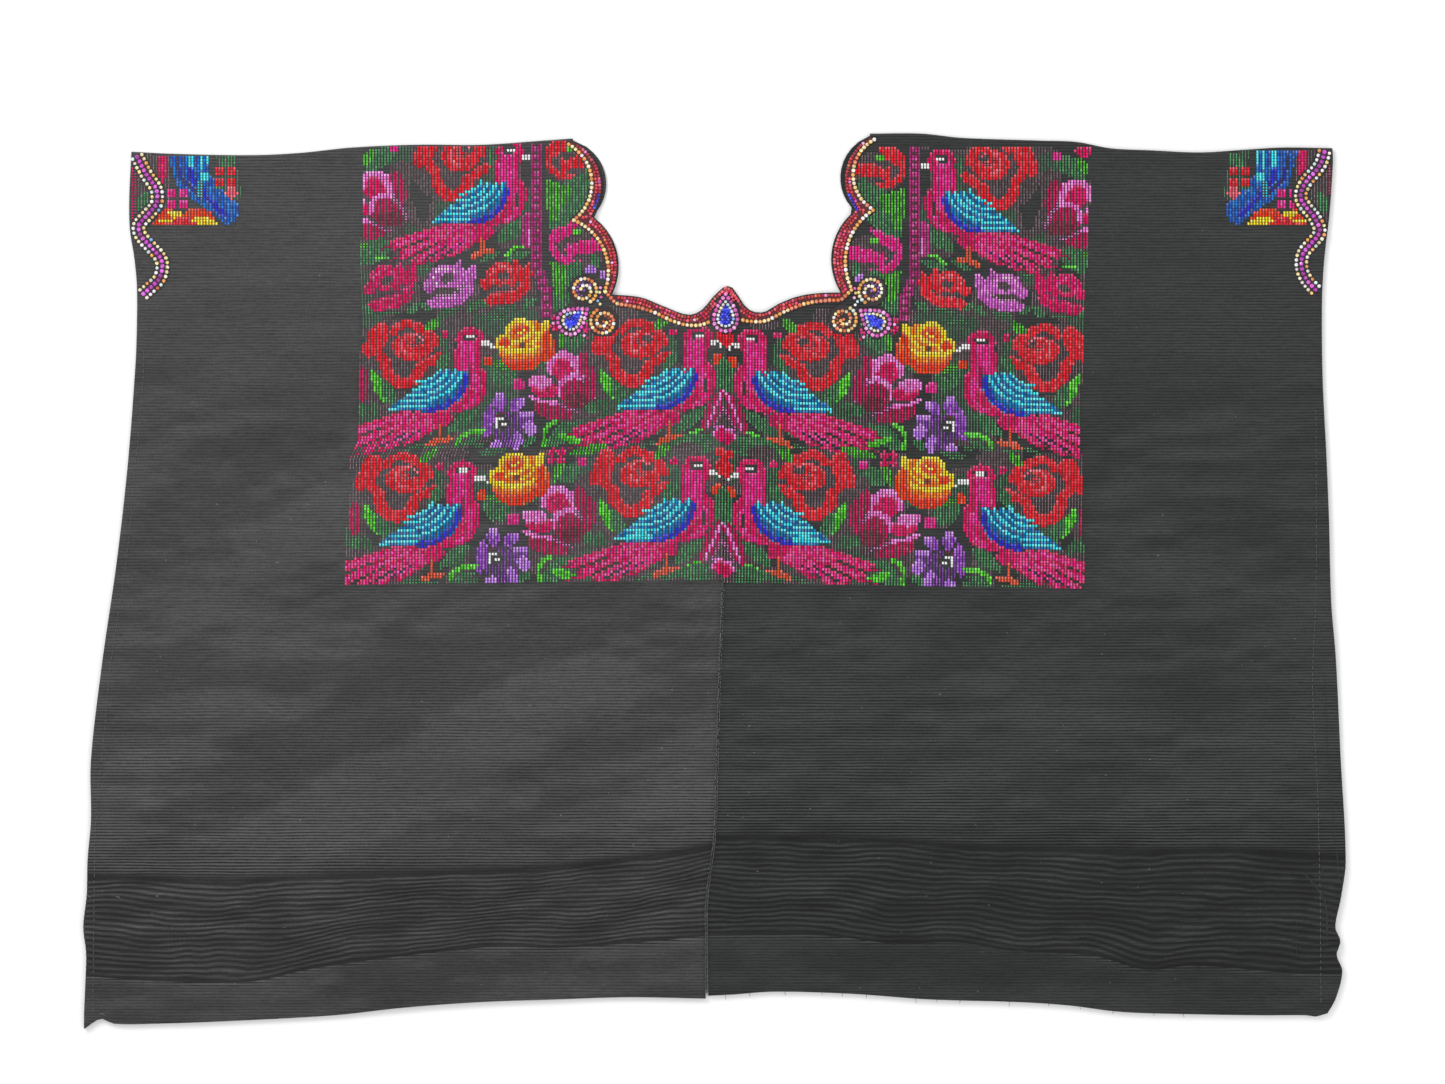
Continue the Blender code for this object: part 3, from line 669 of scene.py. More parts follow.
# Shapes of the chart, in stitches across and down. Each row is a kind of shape, a thread, a way of
# filling and the shape's own sizes. Oval: middle, half sizes, tilt. Band: middle and half sizes of
# an oval, the degrees where the band starts and ends, half its thickness. Leaf: foot, tip, half
# width. Line: points, half width. Poly: corners. Later shapes lie over earlier ones.
ROSE = [
    ("oval", "mauve", "shade", 16.5, 12, 14, 11.6, 0),
    ("oval", "mauve", "shade", 7.6, 15, 5, 4, 0),
    ("oval", "red", "solid", 8.4, 6.4, 3.4, 5.4, 22),
    ("oval", "red", "solid", 5.6, 10.4, 2.4, 2.8, 0),
    ("leaf", "red", "solid", 7.2, 8, 10.8, 15.6, 1.7),
    ("band", "red", "solid", 18.2, 8.6, 5.4, 6.6, 215, 320, 1.4),
    ("oval", "red", "solid", 25.4, 6, 2.2, 5.4, -45),
    ("oval", "red", "solid", 27, 14.2, 4.2, 1.7, -24),
    ("band", "red", "solid", 17.2, 15.4, 5.8, 6.4, 10, 186, 2),
    ("oval", "red", "solid", 20.2, 9.6, 6.9, 4.7, 0),
    ("oval", "mauve", "shade", 22.6, 7.2, 1.9, 1.7, 0),
    ("band", "light_red", "solid", 20.4, 8.8, 3.8, 3.2, 100, 330, 0.36),
    ("band", "light_red", "dots", 20.6, 8.4, 1.7, 1.2, 0, 240, 0.4),
    ("leaf", "bright", "solid", 6.6, 17.4, 11.4, 28.2, 1.8),
    ("leaf", "green", "stripe", 11, 21, 14.4, 30, 2.2),
    ("leaf", "bright", "stripe", 24.2, 4.4, 29.6, 0.2, 1.7),
    ("leaf", "green", "stripe", 27.8, 18.4, 32.6, 11.6, 1.9),
    ("leaf", "green", "shade", 29.6, 5, 31.8, 13, 1.4),
    ("oval", "mauve", "shade", 35.2, 1.8, 5, 2.2, 0),
    ("oval", "crimson", "solid", 31.1, 5.6, 1.4, 1.3, 0),
    ("oval", "crimson", "stripe", 3.4, 22.2, 2.1, 5.8, 0),
    ("oval", "green", "stripe", 3.6, 30.4, 2.2, 2, 0),
    ("leaf", "green", "shade", 6, 28, 9, 33.4, 1.8),
]
BIRD = [
    ("oval", "crimson", "solid", 29.2, 33.6, 3.6, 2.8, 10),
    ("oval", "rust", "solid", 28.7, 38.6, 0.8, 3.6, 0),
    ("leaf", "rust", "solid", 24.2, 43, 30, 39.8, 1.1),
    ("leaf", "rust", "solid", 28, 41.4, 33.4, 40, 1.0),
    ("poly", "crimson", "solid", [(33.8, 7.4), (33.3, 13), (33.6, 20), (37, 23), (42, 20), (41.6, 12),
                                  (42.8, 9)]),
    ("oval", "crimson", "solid", 38.3, 7.4, 4.9, 4, 0),
    ("oval", "crimson", "solid", 39.2, 23.4, 4.9, 7.6, 18),
    ("oval", "crimson", "solid", 34.6, 29, 5.2, 2.6, -14),
    ("line", "pink", "solid", [(37.4, 9.4), (37.2, 14), (38, 21)], 2.7),
    ("line", "crimson", "dots", [(38.4, 16), (38.2, 22)], 0.4),
    ("band", "pink", "solid", 36.6, 22.6, 4.6, 7.4, -20, 90, 0.7),
    ("oval", None, "gap", 41, 23.6, 0.5, 2.4, 0),
    ("poly", None, "gap", [(36.2, 5.6), (40.6, 5.6), (40.4, 7.7), (36.4, 7.9)]),
    ("poly", "white", "solid", [(37, 6.1), (39.9, 6.1), (39.9, 7.1), (37, 7.1)]),
    ("poly", "white", "solid", [(42.5, 8.2), (44.6, 8.2), (44.6, 9.9), (42.5, 9.9)]),
    ("line", "white", "solid", [(45.1, 9.2), (46.2, 10.3)], 0.55),
    ("poly", "blue", "solid", [(11, 30.6), (13.6, 28), (18, 25.4), (23, 21.6), (27.4, 18.8), (31.6, 17.2),
                               (33.8, 19), (35.4, 17.6), (37.6, 17.8), (37.8, 23), (35.4, 27.2), (31, 30.4),
                               (24, 31.4), (16, 31.2)]),
    ("band", "deep", "solid", 24.8, 18.8, 12.4, 11.8, 5, 92, 0.95),
    ("line", "cyan", "solid", [(11.6, 30.4), (15, 29.8), (24, 29.8)], 0.5),
] + [
    ("band", "cyan", "solid", 20, 15.2, 16.4 - 2.5 * i, 12.8 - 2.2 * i, 12 + 3 * i, 106 - 7 * i, 0.5)
    for i in range(4)
]
TAIL = [  # across and down of each feather's root and of its tip
    (17.6, 32.4, -2.2, 38.4),
    (21.6, 32.6, 0.6, 41.8),
    (24.6, 33.2, 5.8, 43.6),
    (27.2, 33.6, 11.4, 42.8),
    (29, 34.2, 17.6, 40.8),
]
FEATHER_HALF = 1.75  # half width of a feather
GROUND_LEAVES = [
    ("leaf", "green", "stripe", 31, 39.2, 41, 31.4, 2.3),
    ("line", "bright", "solid", [(34.2, 42.4), (36.2, 40.2), (39, 38.9), (43, 38.6)], 0.75),
    ("line", "green", "dots", [(34.6, 44), (38, 42.8), (43.6, 43.4)], 0.8),
    ("leaf", "green", "stripe", 36, 43, 43, 40.4, 1.1),
    ("oval", "green", "stripe", 24.8, 38.6, 1.2, 1.6, 0),
    ("line", "green", "dots", [(19, 44.6), (23, 43), (30, 44)], 0.7),
]
YELLOW_ROSE = [
    ("oval", "flame", "solid", 63.8, 9.4, 3.8, 6, -12),
    ("leaf", "yellow", "solid", 61.6, 6.4, 66.2, 1, 1.5),
    ("oval", "orange", "solid", 60, 8, 3.8, 6.4, 10),
    ("band", "flame", "solid", 56.8, 10.6, 6.2, 5.8, 10, 165, 1.9),
    ("oval", "orange", "solid", 56, 11.4, 7.4, 3.2, 0),
    ("oval", "orange", "solid", 56, 5.2, 4.6, 4, -10),
    ("band", "yellow", "solid", 56, 5.6, 4.6, 4.2, 150, 360, 0.8),
    ("oval", "flame", "solid", 56.2, 4.9, 2.6, 1.6, -15),
    ("line", "yellow", "solid", [(55, 5.6), (57.4, 4.6)], 0.4),
    ("oval", "yellow", "solid", 50.4, 8.6, 3, 2.7, 0),
    ("oval", "flame", "solid", 51, 8.6, 1.9, 1.6, 0),
    ("band", "yellow", "solid", 55.4, 9.4, 7, 2.4, 20, 178, 0.8),
    ("band", "yellow", "solid", 55.2, 3, 5, 5, 0, 100, 0.55),
    ("band", "yellow", "solid", 57.6, 3, 5.6, 6.6, 0, 95, 0.55),
    ("oval", "rust", "shade", 56.8, 9.4, 1.5, 0.8, 0),
    ("line", "orange", "solid", [(66.8, 6), (66.4, 10)], 0.5),
]
PEONY = [
    ("oval", "mauve", "shade", 71, 26, 10.5, 9.4, 0),
    ("oval", "mauve", "shade", 78, 16.8, 3.8, 8.4, 0),
    ("oval", "crimson", "stripe", 77, 18.4, 2.8, 6.4, -8),
    ("oval", "crimson", "solid", 69.4, 17.4, 4.4, 3.8, 0),
    ("band", "orchid", "solid", 69, 17, 4.4, 4.2, 165, 350, 1.2),
    ("line", "orchid", "solid", [(73.6, 13.8), (74.4, 17), (74.2, 20)], 0.7),
    ("oval", "crimson", "stripe", 73.6, 25.4, 5.2, 4.8, 0),
    ("band", "orchid", "solid", 73, 25.2, 5.2, 5.2, 175, 300, 1.0),
    ("line", "orchid", "dots", [(75.6, 20.4), (78, 24), (79.8, 27.6)], 0.6),
    ("oval", "plum", "stripe", 74.6, 28.2, 4.4, 2.6, 0),
    ("oval", "crimson", "solid", 63.2, 24.4, 4.6, 2.7, 12),
    ("oval", "orchid", "solid", 61.6, 21.8, 4.4, 2.2, 6),
    ("oval", "crimson", "stripe", 66.2, 31.2, 7.2, 3.2, 14),
    ("line", "orchid", "solid", [(58.4, 26.6), (61.6, 28.2), (67.6, 28.9)], 0.7),
    ("line", "orchid", "dots", [(68.6, 29.4), (71, 30.9), (74.4, 31.9)], 0.5),
]
PANSY = [
    ("oval", "plum", "shade", 51.6, 37, 5.4, 5.2, 0),
    ("oval", "purple", "shade", 53, 38, 5.6, 6, 0),
    ("oval", "purple", "solid", 50, 28.6, 2.2, 3.2, 0),
    ("oval", "violet", "solid", 50.2, 26.8, 1.6, 1.7, 0),
    ("oval", "purple", "solid", 55.8, 29.4, 2.9, 2.1, -35),
    ("oval", "violet", "solid", 57, 28.4, 1.7, 1.1, -35),
    ("oval", "purple", "stripe", 58, 34, 3.4, 2.2, 0),
    ("oval", "violet", "solid", 59, 32.8, 2.8, 1.1, 0),
    ("oval", "violet", "solid", 60, 37.4, 2, 2.6, -30),
    ("oval", "violet", "solid", 56.2, 41.4, 1.8, 3.2, -10),
    ("oval", "purple", "stripe", 54, 42, 1.3, 2, 0),
    ("oval", "violet", "solid", 49.6, 43, 2.2, 1.7, 0),
    ("oval", "purple", "solid", 46.2, 35, 1.8, 5.6, 6),
    ("oval", None, "gap", 50.8, 35.4, 2.4, 2.4, 0),
    ("line", "white", "solid", [(49.1, 36.6), (49.1, 34.5), (51.4, 34.5)], 0.5),
    ("oval", "white", "solid", 51.6, 35.9, 0.8, 0.7, 0),
]
MID_LEAVES = [
    ("leaf", "bright", "stripe", 68.4, 11.4, 71, 4.6, 1.9),
    ("leaf", "green", "stripe", 70.6, 11.6, 76.6, 5.4, 2.8),
    ("oval", "crimson", "solid", 67.3, 1.5, 1.3, 1.2, 0),
    ("oval", "crimson", "solid", 70.5, 1.5, 1.3, 1.2, 0),
    ("oval", "crimson", "solid", 67.3, 4.2, 1.3, 1.2, 0),
    ("oval", "crimson", "solid", 70.5, 4.2, 1.3, 1.2, 0),
    ("oval", "berry", "solid", 77.5, 4.8, 1.8, 1.5, 0),
    ("leaf", "bright", "stripe", 73, 2.4, 85.6, -0.4, 1.5),
    ("leaf", "green", "stripe", 45.6, 15.6, 49, 24.4, 2.1),
    ("leaf", "bright", "dots", 46, 16, 54.6, 17.6, 1.8),
    ("leaf", "green", "stripe", 50, 24.8, 54, 16.6, 1.8),
    ("leaf", "green", "stripe", 58.6, 18.4, 64.6, 14.4, 1.4),
    ("oval", "berry", "solid", 55, 23.4, 2.3, 2, 10),
    ("oval", "flame", "solid", 44.6, 15.4, 1.7, 1.8, 0),
    ("leaf", "green", "stripe", 64.6, 44, 76, 35.2, 3.4),
    ("line", "bright", "solid", [(63.8, 43.8), (63.6, 39.6), (65, 37), (68.4, 35.6)], 0.8),
    ("leaf", "bright", "solid", 67.6, 40.2, 76.4, 43, 1.4),
    ("leaf", "green", "stripe", 56.6, 44, 61.4, 40.6, 1.5),
    ("oval", "green", "stripe", 82.6, 30.6, 2, 2.1, 0),
    ("leaf", "green", "dots", 43, 1.6, 52, 0.4, 1.4),
]
CENTRE = [
    ("oval", "red", "solid", 122.6, 2, 1.4, 1.6, 0),
    ("oval", "red", "solid", 123.4, 6.6, 2.2, 2.9, 0),
    ("oval", "flame", "solid", 121.6, 14.4, 1.9, 1.9, 0),
    ("leaf", "green", "stripe", 122.6, 26.4, 123.4, 13.4, 2.4),
    ("oval", "mauve", "shade", 121.6, 32, 4.2, 7.6, 12),
    ("leaf", "crimson", "stripe", 123.2, 24.2, 116.8, 38.8, 2.5),
    ("line", "orchid", "solid", [(123.2, 25.4), (121.4, 29.6), (119.4, 34), (118, 37.4)], 0.5),
    ("line", "orchid", "dots", [(123.6, 30.6), (122, 34), (120.4, 37)], 0.5),
    ("oval", "crimson", "solid", 123.6, 39.4, 3.2, 2.9, 0),
    ("band", "orchid", "solid", 123.6, 39.4, 2.8, 2.5, 165, 280, 0.5),
    ("leaf", "green", "stripe", 106, 42.6, 118.6, 39.4, 1.7),
    ("leaf", "green", "stripe", 109, 44.6, 122, 44.4, 1.3),
]
SECOND_BIRD_ACROSS = 76.7

# Row next to the shoulder, and the small roses under it
SHOULDER_ROW = [
    ("oval", "crimson", "solid", 4.4, 1.6, 3.2, 2, 0),
    ("leaf", "green", "stripe", 4, 10.6, 14.6, 2.6, 3.2),
    ("leaf", "bright", "stripe", 3.6, 9, 7, 3.4, 1.8),
    ("leaf", "green", "stripe", -1, 13, 0.8, 4.6, 1.6),
    ("oval", "berry", "solid", 13.4, 3.4, 1.8, 1.6, 0),
    ("leaf", "green", "stripe", -0.4, 41.6, 13, 34.4, 3.8),
    ("oval", "bright", "dots", 3, 36, 2.2, 1.2, 0),
    ("oval", "bright", "solid", 9.4, 40, 2.4, 0.9, 0),
    ("leaf", "green", "stripe", 45.4, 3.6, 44.4, 12, 1.5),
    ("leaf", "green", "stripe", 47.8, 34.6, 57.6, 27.6, 2.6),
    ("line", "bright", "solid", [(51, 38.8), (54.4, 36.4), (59, 35.6)], 0.7),
    ("leaf", "green", "stripe", 50, 41, 60, 37.6, 1.4),
    ("oval", "wine", "solid", 58.2, 30.8, 2.7, 6.1, 0),
    ("oval", "orchid", "solid", 59.2, 33, 1.4, 2.9, 0),
    ("leaf", "green", "stripe", 42.4, 41, 49, 37.6, 1.3),
    ("leaf", "green", "dots", 21, 42, 25, 44, 1.4),
]
SHOULDER_BIRD = ((15.6, -2.7), (0.95, 1.0))
SHOULDER_PEONY = (-62.3, -1)
SMALL_ROSE = [
    ("oval", "mauve", "shade", 11, 9.6, 8.6, 6.4, 0),
    ("oval", "main", "solid", 7.6, 4.6, 5, 4, -12),
    ("oval", "main", "solid", 2.6, 7.8, 2.4, 2, -20),
    ("leaf", "main", "solid", 11.2, 9, 12.8, -0.6, 2),
    ("leaf", "main", "solid", 13.4, 11, 17.8, 0.4, 2.2),
    ("oval", "main", "solid", 7.2, 12.6, 6.8, 2.1, -12),
    ("leaf", "main", "solid", 8, 14.4, 17.4, 8.6, 1.8),
    ("oval", "mauve", "shade", 8.4, 5.4, 2.2, 1.4, -20),
    ("band", "spark", "solid", 7.8, 5, 3.6, 2.8, 140, 330, 0.36),
    ("line", "spark", "dots", [(5, 10.9), (10, 10.2), (14.6, 7.4)], 0.4),
    ("leaf", "green", "stripe", 14.6, 16, 19, 12.6, 1.5),
    ("leaf", "green", "stripe", -0.6, 13.4, 3.4, 15.6, 1.2),
    ("line", "green", "dots", [(6, 15.8), (12, 15.4)], 0.6),
]
SMALL_ROSES = [  # across, down, thread, thread of the sparks
    (2.6, 41.8, "crimson", "pink"),
    (22.6, 41.4, "orchid_rose", "light_pink"),
    (41.6, 40.6, "red", "light_red"),
]

# Panel beside the neck
CLAW = [
    ("oval", "mauve", "shade", 12, 8, 9, 7, 0),
    ("band", "main", "solid", 10.2, 6.2, 6.6, 6.2, 75, 262, 1.1),
    ("leaf", "main", "solid", 3.2, 6.6, 12.8, -1, 1.7),
    ("leaf", "main", "solid", 10.6, 14.6, 8.4, 6.2, 1.5),
    ("leaf", "main", "solid", 7.6, 8.6, 24, 6.2, 2.3),
    ("leaf", "mauve", "shade", 10, 11.4, 20, 10.2, 1),
    ("oval", "bright", "solid", 11.4, 3.2, 1.6, 1, 0),
    ("oval", "green", "stripe", 17, 12.6, 1.6, 3, 0),
]
NECK_PANEL = [
    ("leaf", "green", "stripe", 65.4, 30, 79, 12, 5.6),
    ("poly", "bright", "stripe", [(64.2, 13.6), (72.6, 16.4), (72.4, 20), (69, 23), (67.6, 27.4),
                                  (64.6, 27.4)]),
    ("leaf", "green", "stripe", 67, 58, 75, 40.6, 4),
    ("poly", "bright", "stripe", [(65.4, 41.4), (71.6, 42.4), (71, 47), (69, 55.6), (66.6, 50)]),
    ("oval", "violet", "solid", 79.2, 44, 1.9, 1.4, 0),
    ("oval", "violet", "solid", 83.2, 45.6, 1.4, 1.4, 0),
]
CLAWS = [  # across, down, thread, size
    (61, 0.4, "red", 1.0),
    (62.4, 28.2, "pink", 1.05),
]
LADDER = (59.6, 62.2)  # across, at the shoulder and at the foot
LADDER_WIDTH = 3.2
LADDER_BEND = (42, 10)  # down, where it starts to move across, and over how many stitches
LADDER_FOOT = 60

# Patch beside each arm trim
ARM_PATCH = [
    ("line", "mauve", "shade", [(9, 2), (9, 24)], 6),
    ("line", "sage", "shade", [(33, 2), (36, 16)], 3),
    ("line", "crimson", "dots", [(2.8, 5), (3, 26)], 1.0),
    ("leaf", "green", "stripe", 5, 22.8, 7, 15.4, 2),
    ("leaf", "crimson", "solid", 12.4, 13, 12.6, 0, 2),
    ("poly", "sea", "solid", [(14.2, 2), (28.4, 2), (28.4, 10), (32, 14), (38.4, 20), (37, 25.6), (34, 26.6),
                              (28, 22.4), (23, 18.6), (17, 13.4)]),
    ("line", "deep", "solid", [(21.4, 7), (22, 11), (27, 17), (33, 23)], 0.9),
    ("line", "deep", "dots", [(17.5, 4), (18.4, 11), (24, 16)], 0.6),
    ("line", "cyan", "solid", [(22, 2), (22, 6)], 1.1),
    ("line", "cyan", "solid", [(25.4, 2), (25.4, 8)], 0.6),
    ("line", "cyan", "solid", [(27.6, 2), (27.6, 6)], 0.6),
    ("oval", "cyan", "solid", 26.6, 10.6, 1.7, 1.5, 0),
    ("line", "cyan", "dots", [(25, 12.6), (25, 16.4)], 1.1),
    ("oval", "flame", "solid", 14.2, 26.4, 5.8, 5, 0),
    ("oval", "flame", "solid", 24.4, 26.6, 6, 5.8, 0),
    ("oval", "red", "solid", 19.4, 26.4, 4, 2.6, 0),
    ("oval", "yellow", "solid", 16.8, 22.8, 2.4, 1.1, 0),
    ("line", "yellow", "solid", [(11, 25.6), (16.4, 24.8)], 0.5),
    ("leaf", "yellow", "solid", 22, 24.8, 31, 26, 1.4),
    ("leaf", "green", "stripe", 31.8, 7, 37.4, 3.4, 1.9),
    ("oval", "green", "stripe", 31.6, 13.8, 1.4, 0.9, 0),
    ("oval", "light_red", "solid", 35.5, 16, 2.1, 2, 0),
]
PATCH_FLOWERS = [  # middle and thread of the flowers with four petals
    (17.5, 17.94, "pink"),
    (33.5, 10.58, "red"),
]
PETAL_APART = (2, 1.6)
PETAL_HALF = (1.75, 1.5)
PATCH_WIDTH = 39
PATCH_HEIGHT = 27.4
PATCH_CORNER_PX = {"left": (125, 145), "right": (1340, 145)}

# Each row of birds: where it starts down the chart, how much taller it is than the tables, how much
# lower its second bird is, and the shift of its roses
FLOWER_ROWS = (
    (58.67, 1, 0.5, (-1.1, 0.6)),
    (103.1, 1.018, -0.6, (-0.3, 0.2)),
)
BIRD_SHIFT = (0, 0.6)
YELLOW_SHIFT = (-0.8, 0.7)
PANSY_SHIFT = (-1.4, 0.6)
PEONY_SHIFT = (0.3, 0.8)
CENTRE_DOWN = 0.8  # lower than the second bird
SHOULDER_ROSE = ((16.9, -4.3), (0.93, 1.09))
ROSE_PETALS = 13  # rows of the rose's table before its leaves
TAIL_GAP = 0.34  # half width of the dark line between two feathers
TAIL_LIGHT = 0.5  # half width of the light line on each
TAIL_END = 0.22  # share of a feather's length that its loose end adds
SHOULDER_ROW_FOOT = 56

# The weave isn't quite even: how much wider than the chart it lies, by rows down, and how many
# pixels lower at the seam, far from it and beside the shoulder.
STRETCH = {"left": ([44, 60, 100, 106], [1, 0.993, 0.993, 1.017]), "right": ([44, 60], [1, 0.997])}
SAG_PX = {"left": (-4.5, 0.8, -2), "right": (-1.5, 4.7, 6.8)}
SAG_CHANGE = (45, 10)


def chart_edge(half, down):
    """How far from the chart's side the brocade starts, in stitches."""
    stops = {"left": ([0, 60, 148], [3.6, 1.6, 0.2]), "right": ([0, 60, 100, 148], [1.6, 4.4, 4.6, 3])}
    return np.interp(down, *stops[half.name])


CHART_FOOT = CHART_TOP - CHART_HEIGHT * STITCH


def chart_place(half, across, down):
    """Where stitches of the chart lie on the garment."""
    near, far, shoulder = SAG_PX[half.name]
    inward = CHART_WIDTH - across
    sag = near + (far - near) * inward / CHART_WIDTH
    sag = shoulder + (sag - shoulder) * ease((down - SAG_CHANGE[0]) / SAG_CHANGE[1])
    y = CHART_TOP - down * STITCH - sag * PIXEL
    return half.seam(y) + half.out * inward * STITCH * np.interp(down, *STRETCH[half.name]), y


def poly(across, down, corners):
    inside = np.zeros(across.shape, bool)
    for (ax, ay), (bx, by) in zip(corners, corners[1:] + corners[:1]):
        if ay != by:
            crossing = (bx - ax) * (down - ay) / (by - ay) + ax
            inside ^= ((ay > down) != (by > down)) & (across < crossing)
    return inside


def oval(across, down, x, y, half_width, half_height, tilt):
    turn = math.radians(tilt)
    dx, dy = across - x, down - y
    ahead = (dx * math.cos(turn) + dy * math.sin(turn)) / half_width
    beside = (dy * math.cos(turn) - dx * math.sin(turn)) / half_height
    return ahead ** 2 + beside ** 2 <= 1


def line(across, down, points, half):
    return line_distance(across, down, np.array(points, float))[0] <= half


def band(across, down, x, y, half_width, half_height, start, end, half):
    turns = np.radians(np.linspace(start, end, 25))
    points = np.stack([x + half_width * np.cos(turns), y + half_height * np.sin(turns)], 1)
    return line(across, down, points, half)


def leaf(across, down, x0, y0, x1, y1, half):
    dx, dy = x1 - x0, y1 - y0
    along = ((across - x0) * dx + (down - y0) * dy) / (dx * dx + dy * dy)
    away = abs((across - x0) * dy - (down - y0) * dx) / math.hypot(dx, dy)
    return away <= half * np.sin(np.pi * np.clip(along, 0, 1)) ** 0.7


SHAPES = {"poly": poly, "oval": oval, "line": line, "band": band, "leaf": leaf}


class Chart:
    """Stitches of one piece of brocade, filled shape by shape."""

    def __init__(self, width, height):
        rows = int(height / ROW_SHARE)
        columns, self.rows = np.meshgrid(np.arange(width), np.arange(rows))
        self.across = columns + 0.5
        self.down = (self.rows + 0.5) * ROW_SHARE
        self.thread = np.full(self.across.shape, "", object)
        self.fill = np.full(self.across.shape, "gap", object)

    def put(self, where, thread, fill):
        self.fill[where] = fill
        self.thread[where] = thread or ""

    def upper_edges(self):
        """Solid stitches that have another thread or nothing above them; they get a painted highlight."""
        edge = self.fill == "solid"
        edge[1:] &= self.thread[1:] != self.thread[:-1]
        return edge

    def draw(self, shapes, shift=(0, 0), scale=(1, 1), names=None):
        """Adds shapes in turn, moved and scaled together, some threads under other names."""
        across, down = (self.across - shift[0]) / scale[0], (self.down - shift[1]) / scale[1]
        for kind, thread, fill, *sizes in shapes:
            self.put(SHAPES[kind](across, down, *sizes), (names or {}).get(thread, thread), fill)


def tail_feathers():
    """The bird's tail: overlapping feathers, a dark line between them, a light one on each."""
    shapes = [("line", "crimson", "solid", [row[:2], row[2:]], FEATHER_HALF) for row in TAIL]
    for a, b in zip(TAIL[:-1], TAIL[1:]):
        x0, y0, x1, y1 = [(v + w) / 2 for v, w in zip(a, b)]
        start = ((x0 + x1) / 2, (y0 + y1) / 2)
        shapes.append(("line", None, "gap", [start, (x1, y1)], TAIL_GAP))
    for x0, y0, x1, y1 in TAIL:
        shapes.append(("line", "pink", "solid", [(x0, y0), (x1, y1)], TAIL_LIGHT))
        end = (x1 + TAIL_END * (x1 - x0), y1 + TAIL_END * (y1 - y0))
        shapes.append(("line", "crimson", "dots", [(x1, y1), end], TAIL_GAP))
    return shapes


def garment_chart():
    """Half of the garment's brocade, from its side at 0 to the seam."""
    chart = Chart(CHART_WIDTH, CHART_HEIGHT)
    patches = field(chart.across, chart.down, 7, 9, 41)
    free = (chart.down > SHOULDER_ROW_FOOT) | (chart.across < LADDER[0])
    chart.put(free & (patches > -0.15), "mauve", "shade")
    chart.put(free & (patches > 0.35), "sage", "shade")
    bird = tail_feathers() + BIRD
    for top, taller, second_down, rose_shift in FLOWER_ROWS:
        motifs = [(MID_LEAVES, 0, 0), (PANSY, *PANSY_SHIFT)]
        motifs += [(PEONY, *PEONY_SHIFT), (YELLOW_ROSE, *YELLOW_SHIFT)]
        for x, y in ((0, 0), (SECOND_BIRD_ACROSS, second_down)):
            motifs.append((GROUND_LEAVES, x, y))
            motifs.append((ROSE, x + rose_shift[0], y + rose_shift[1]))
            motifs.append((bird, x + BIRD_SHIFT[0], y + BIRD_SHIFT[1]))
        motifs.append((CENTRE, 0, second_down + CENTRE_DOWN))
        for shapes, x, y in motifs:
            chart.draw(shapes, (x, top + y), (1, taller))
    chart.draw(PEONY, SHOULDER_PEONY)
    chart.draw(SHOULDER_ROW)
    chart.draw(ROSE[:ROSE_PETALS], *SHOULDER_ROSE)
    chart.draw(bird, *SHOULDER_BIRD)
    for across, down, thread, spark in SMALL_ROSES:
        chart.draw(SMALL_ROSE, (across, down), names={"main": thread, "spark": spark})
    for across, down, thread, size in CLAWS:
        chart.draw(CLAW, (across, down), (size, size), {"main": thread})
    chart.draw(NECK_PANEL)
    above = chart.down < LADDER_FOOT
    rail = LADDER[0] + (LADDER[1] - LADDER[0]) * ease((chart.down - LADDER_BEND[0]) / LADDER_BEND[1])
    for side in (0, LADDER_WIDTH):
        chart.put(above & (abs(chart.across - rail - side) < 0.5), "wine", "stripe")
    between = abs(chart.across - rail - LADDER_WIDTH / 2) < LADDER_WIDTH / 2 - 0.5
    chart.put(above & between, "plum", "shade")
    chart.put(above & between & (chart.rows % 3 < 2), "wine", "solid")
    return chart


def patch_chart():
    chart = Chart(PATCH_WIDTH, PATCH_HEIGHT)
    chart.draw(ARM_PATCH)
    for x, y, thread in PATCH_FLOWERS:
        for sx, sy in CORNERS:
            middle = (x + sx * PETAL_APART[0], y + sy * PETAL_APART[1])
            chart.draw([("oval", thread, "solid", *middle, *PETAL_HALF, 0)])
    return chart


FILLS = {  # share of the stitch's width and of its length, and height
    "solid": (0.88, 1.02, FLOAT_HEIGHT),
    "stripe": (0.56, 1.0, FLOAT_HEIGHT),
    "shade": (0.34, 1.0, SHADE_HEIGHT),
    "dots": (0.62, 0.62, FLOAT_HEIGHT),
}


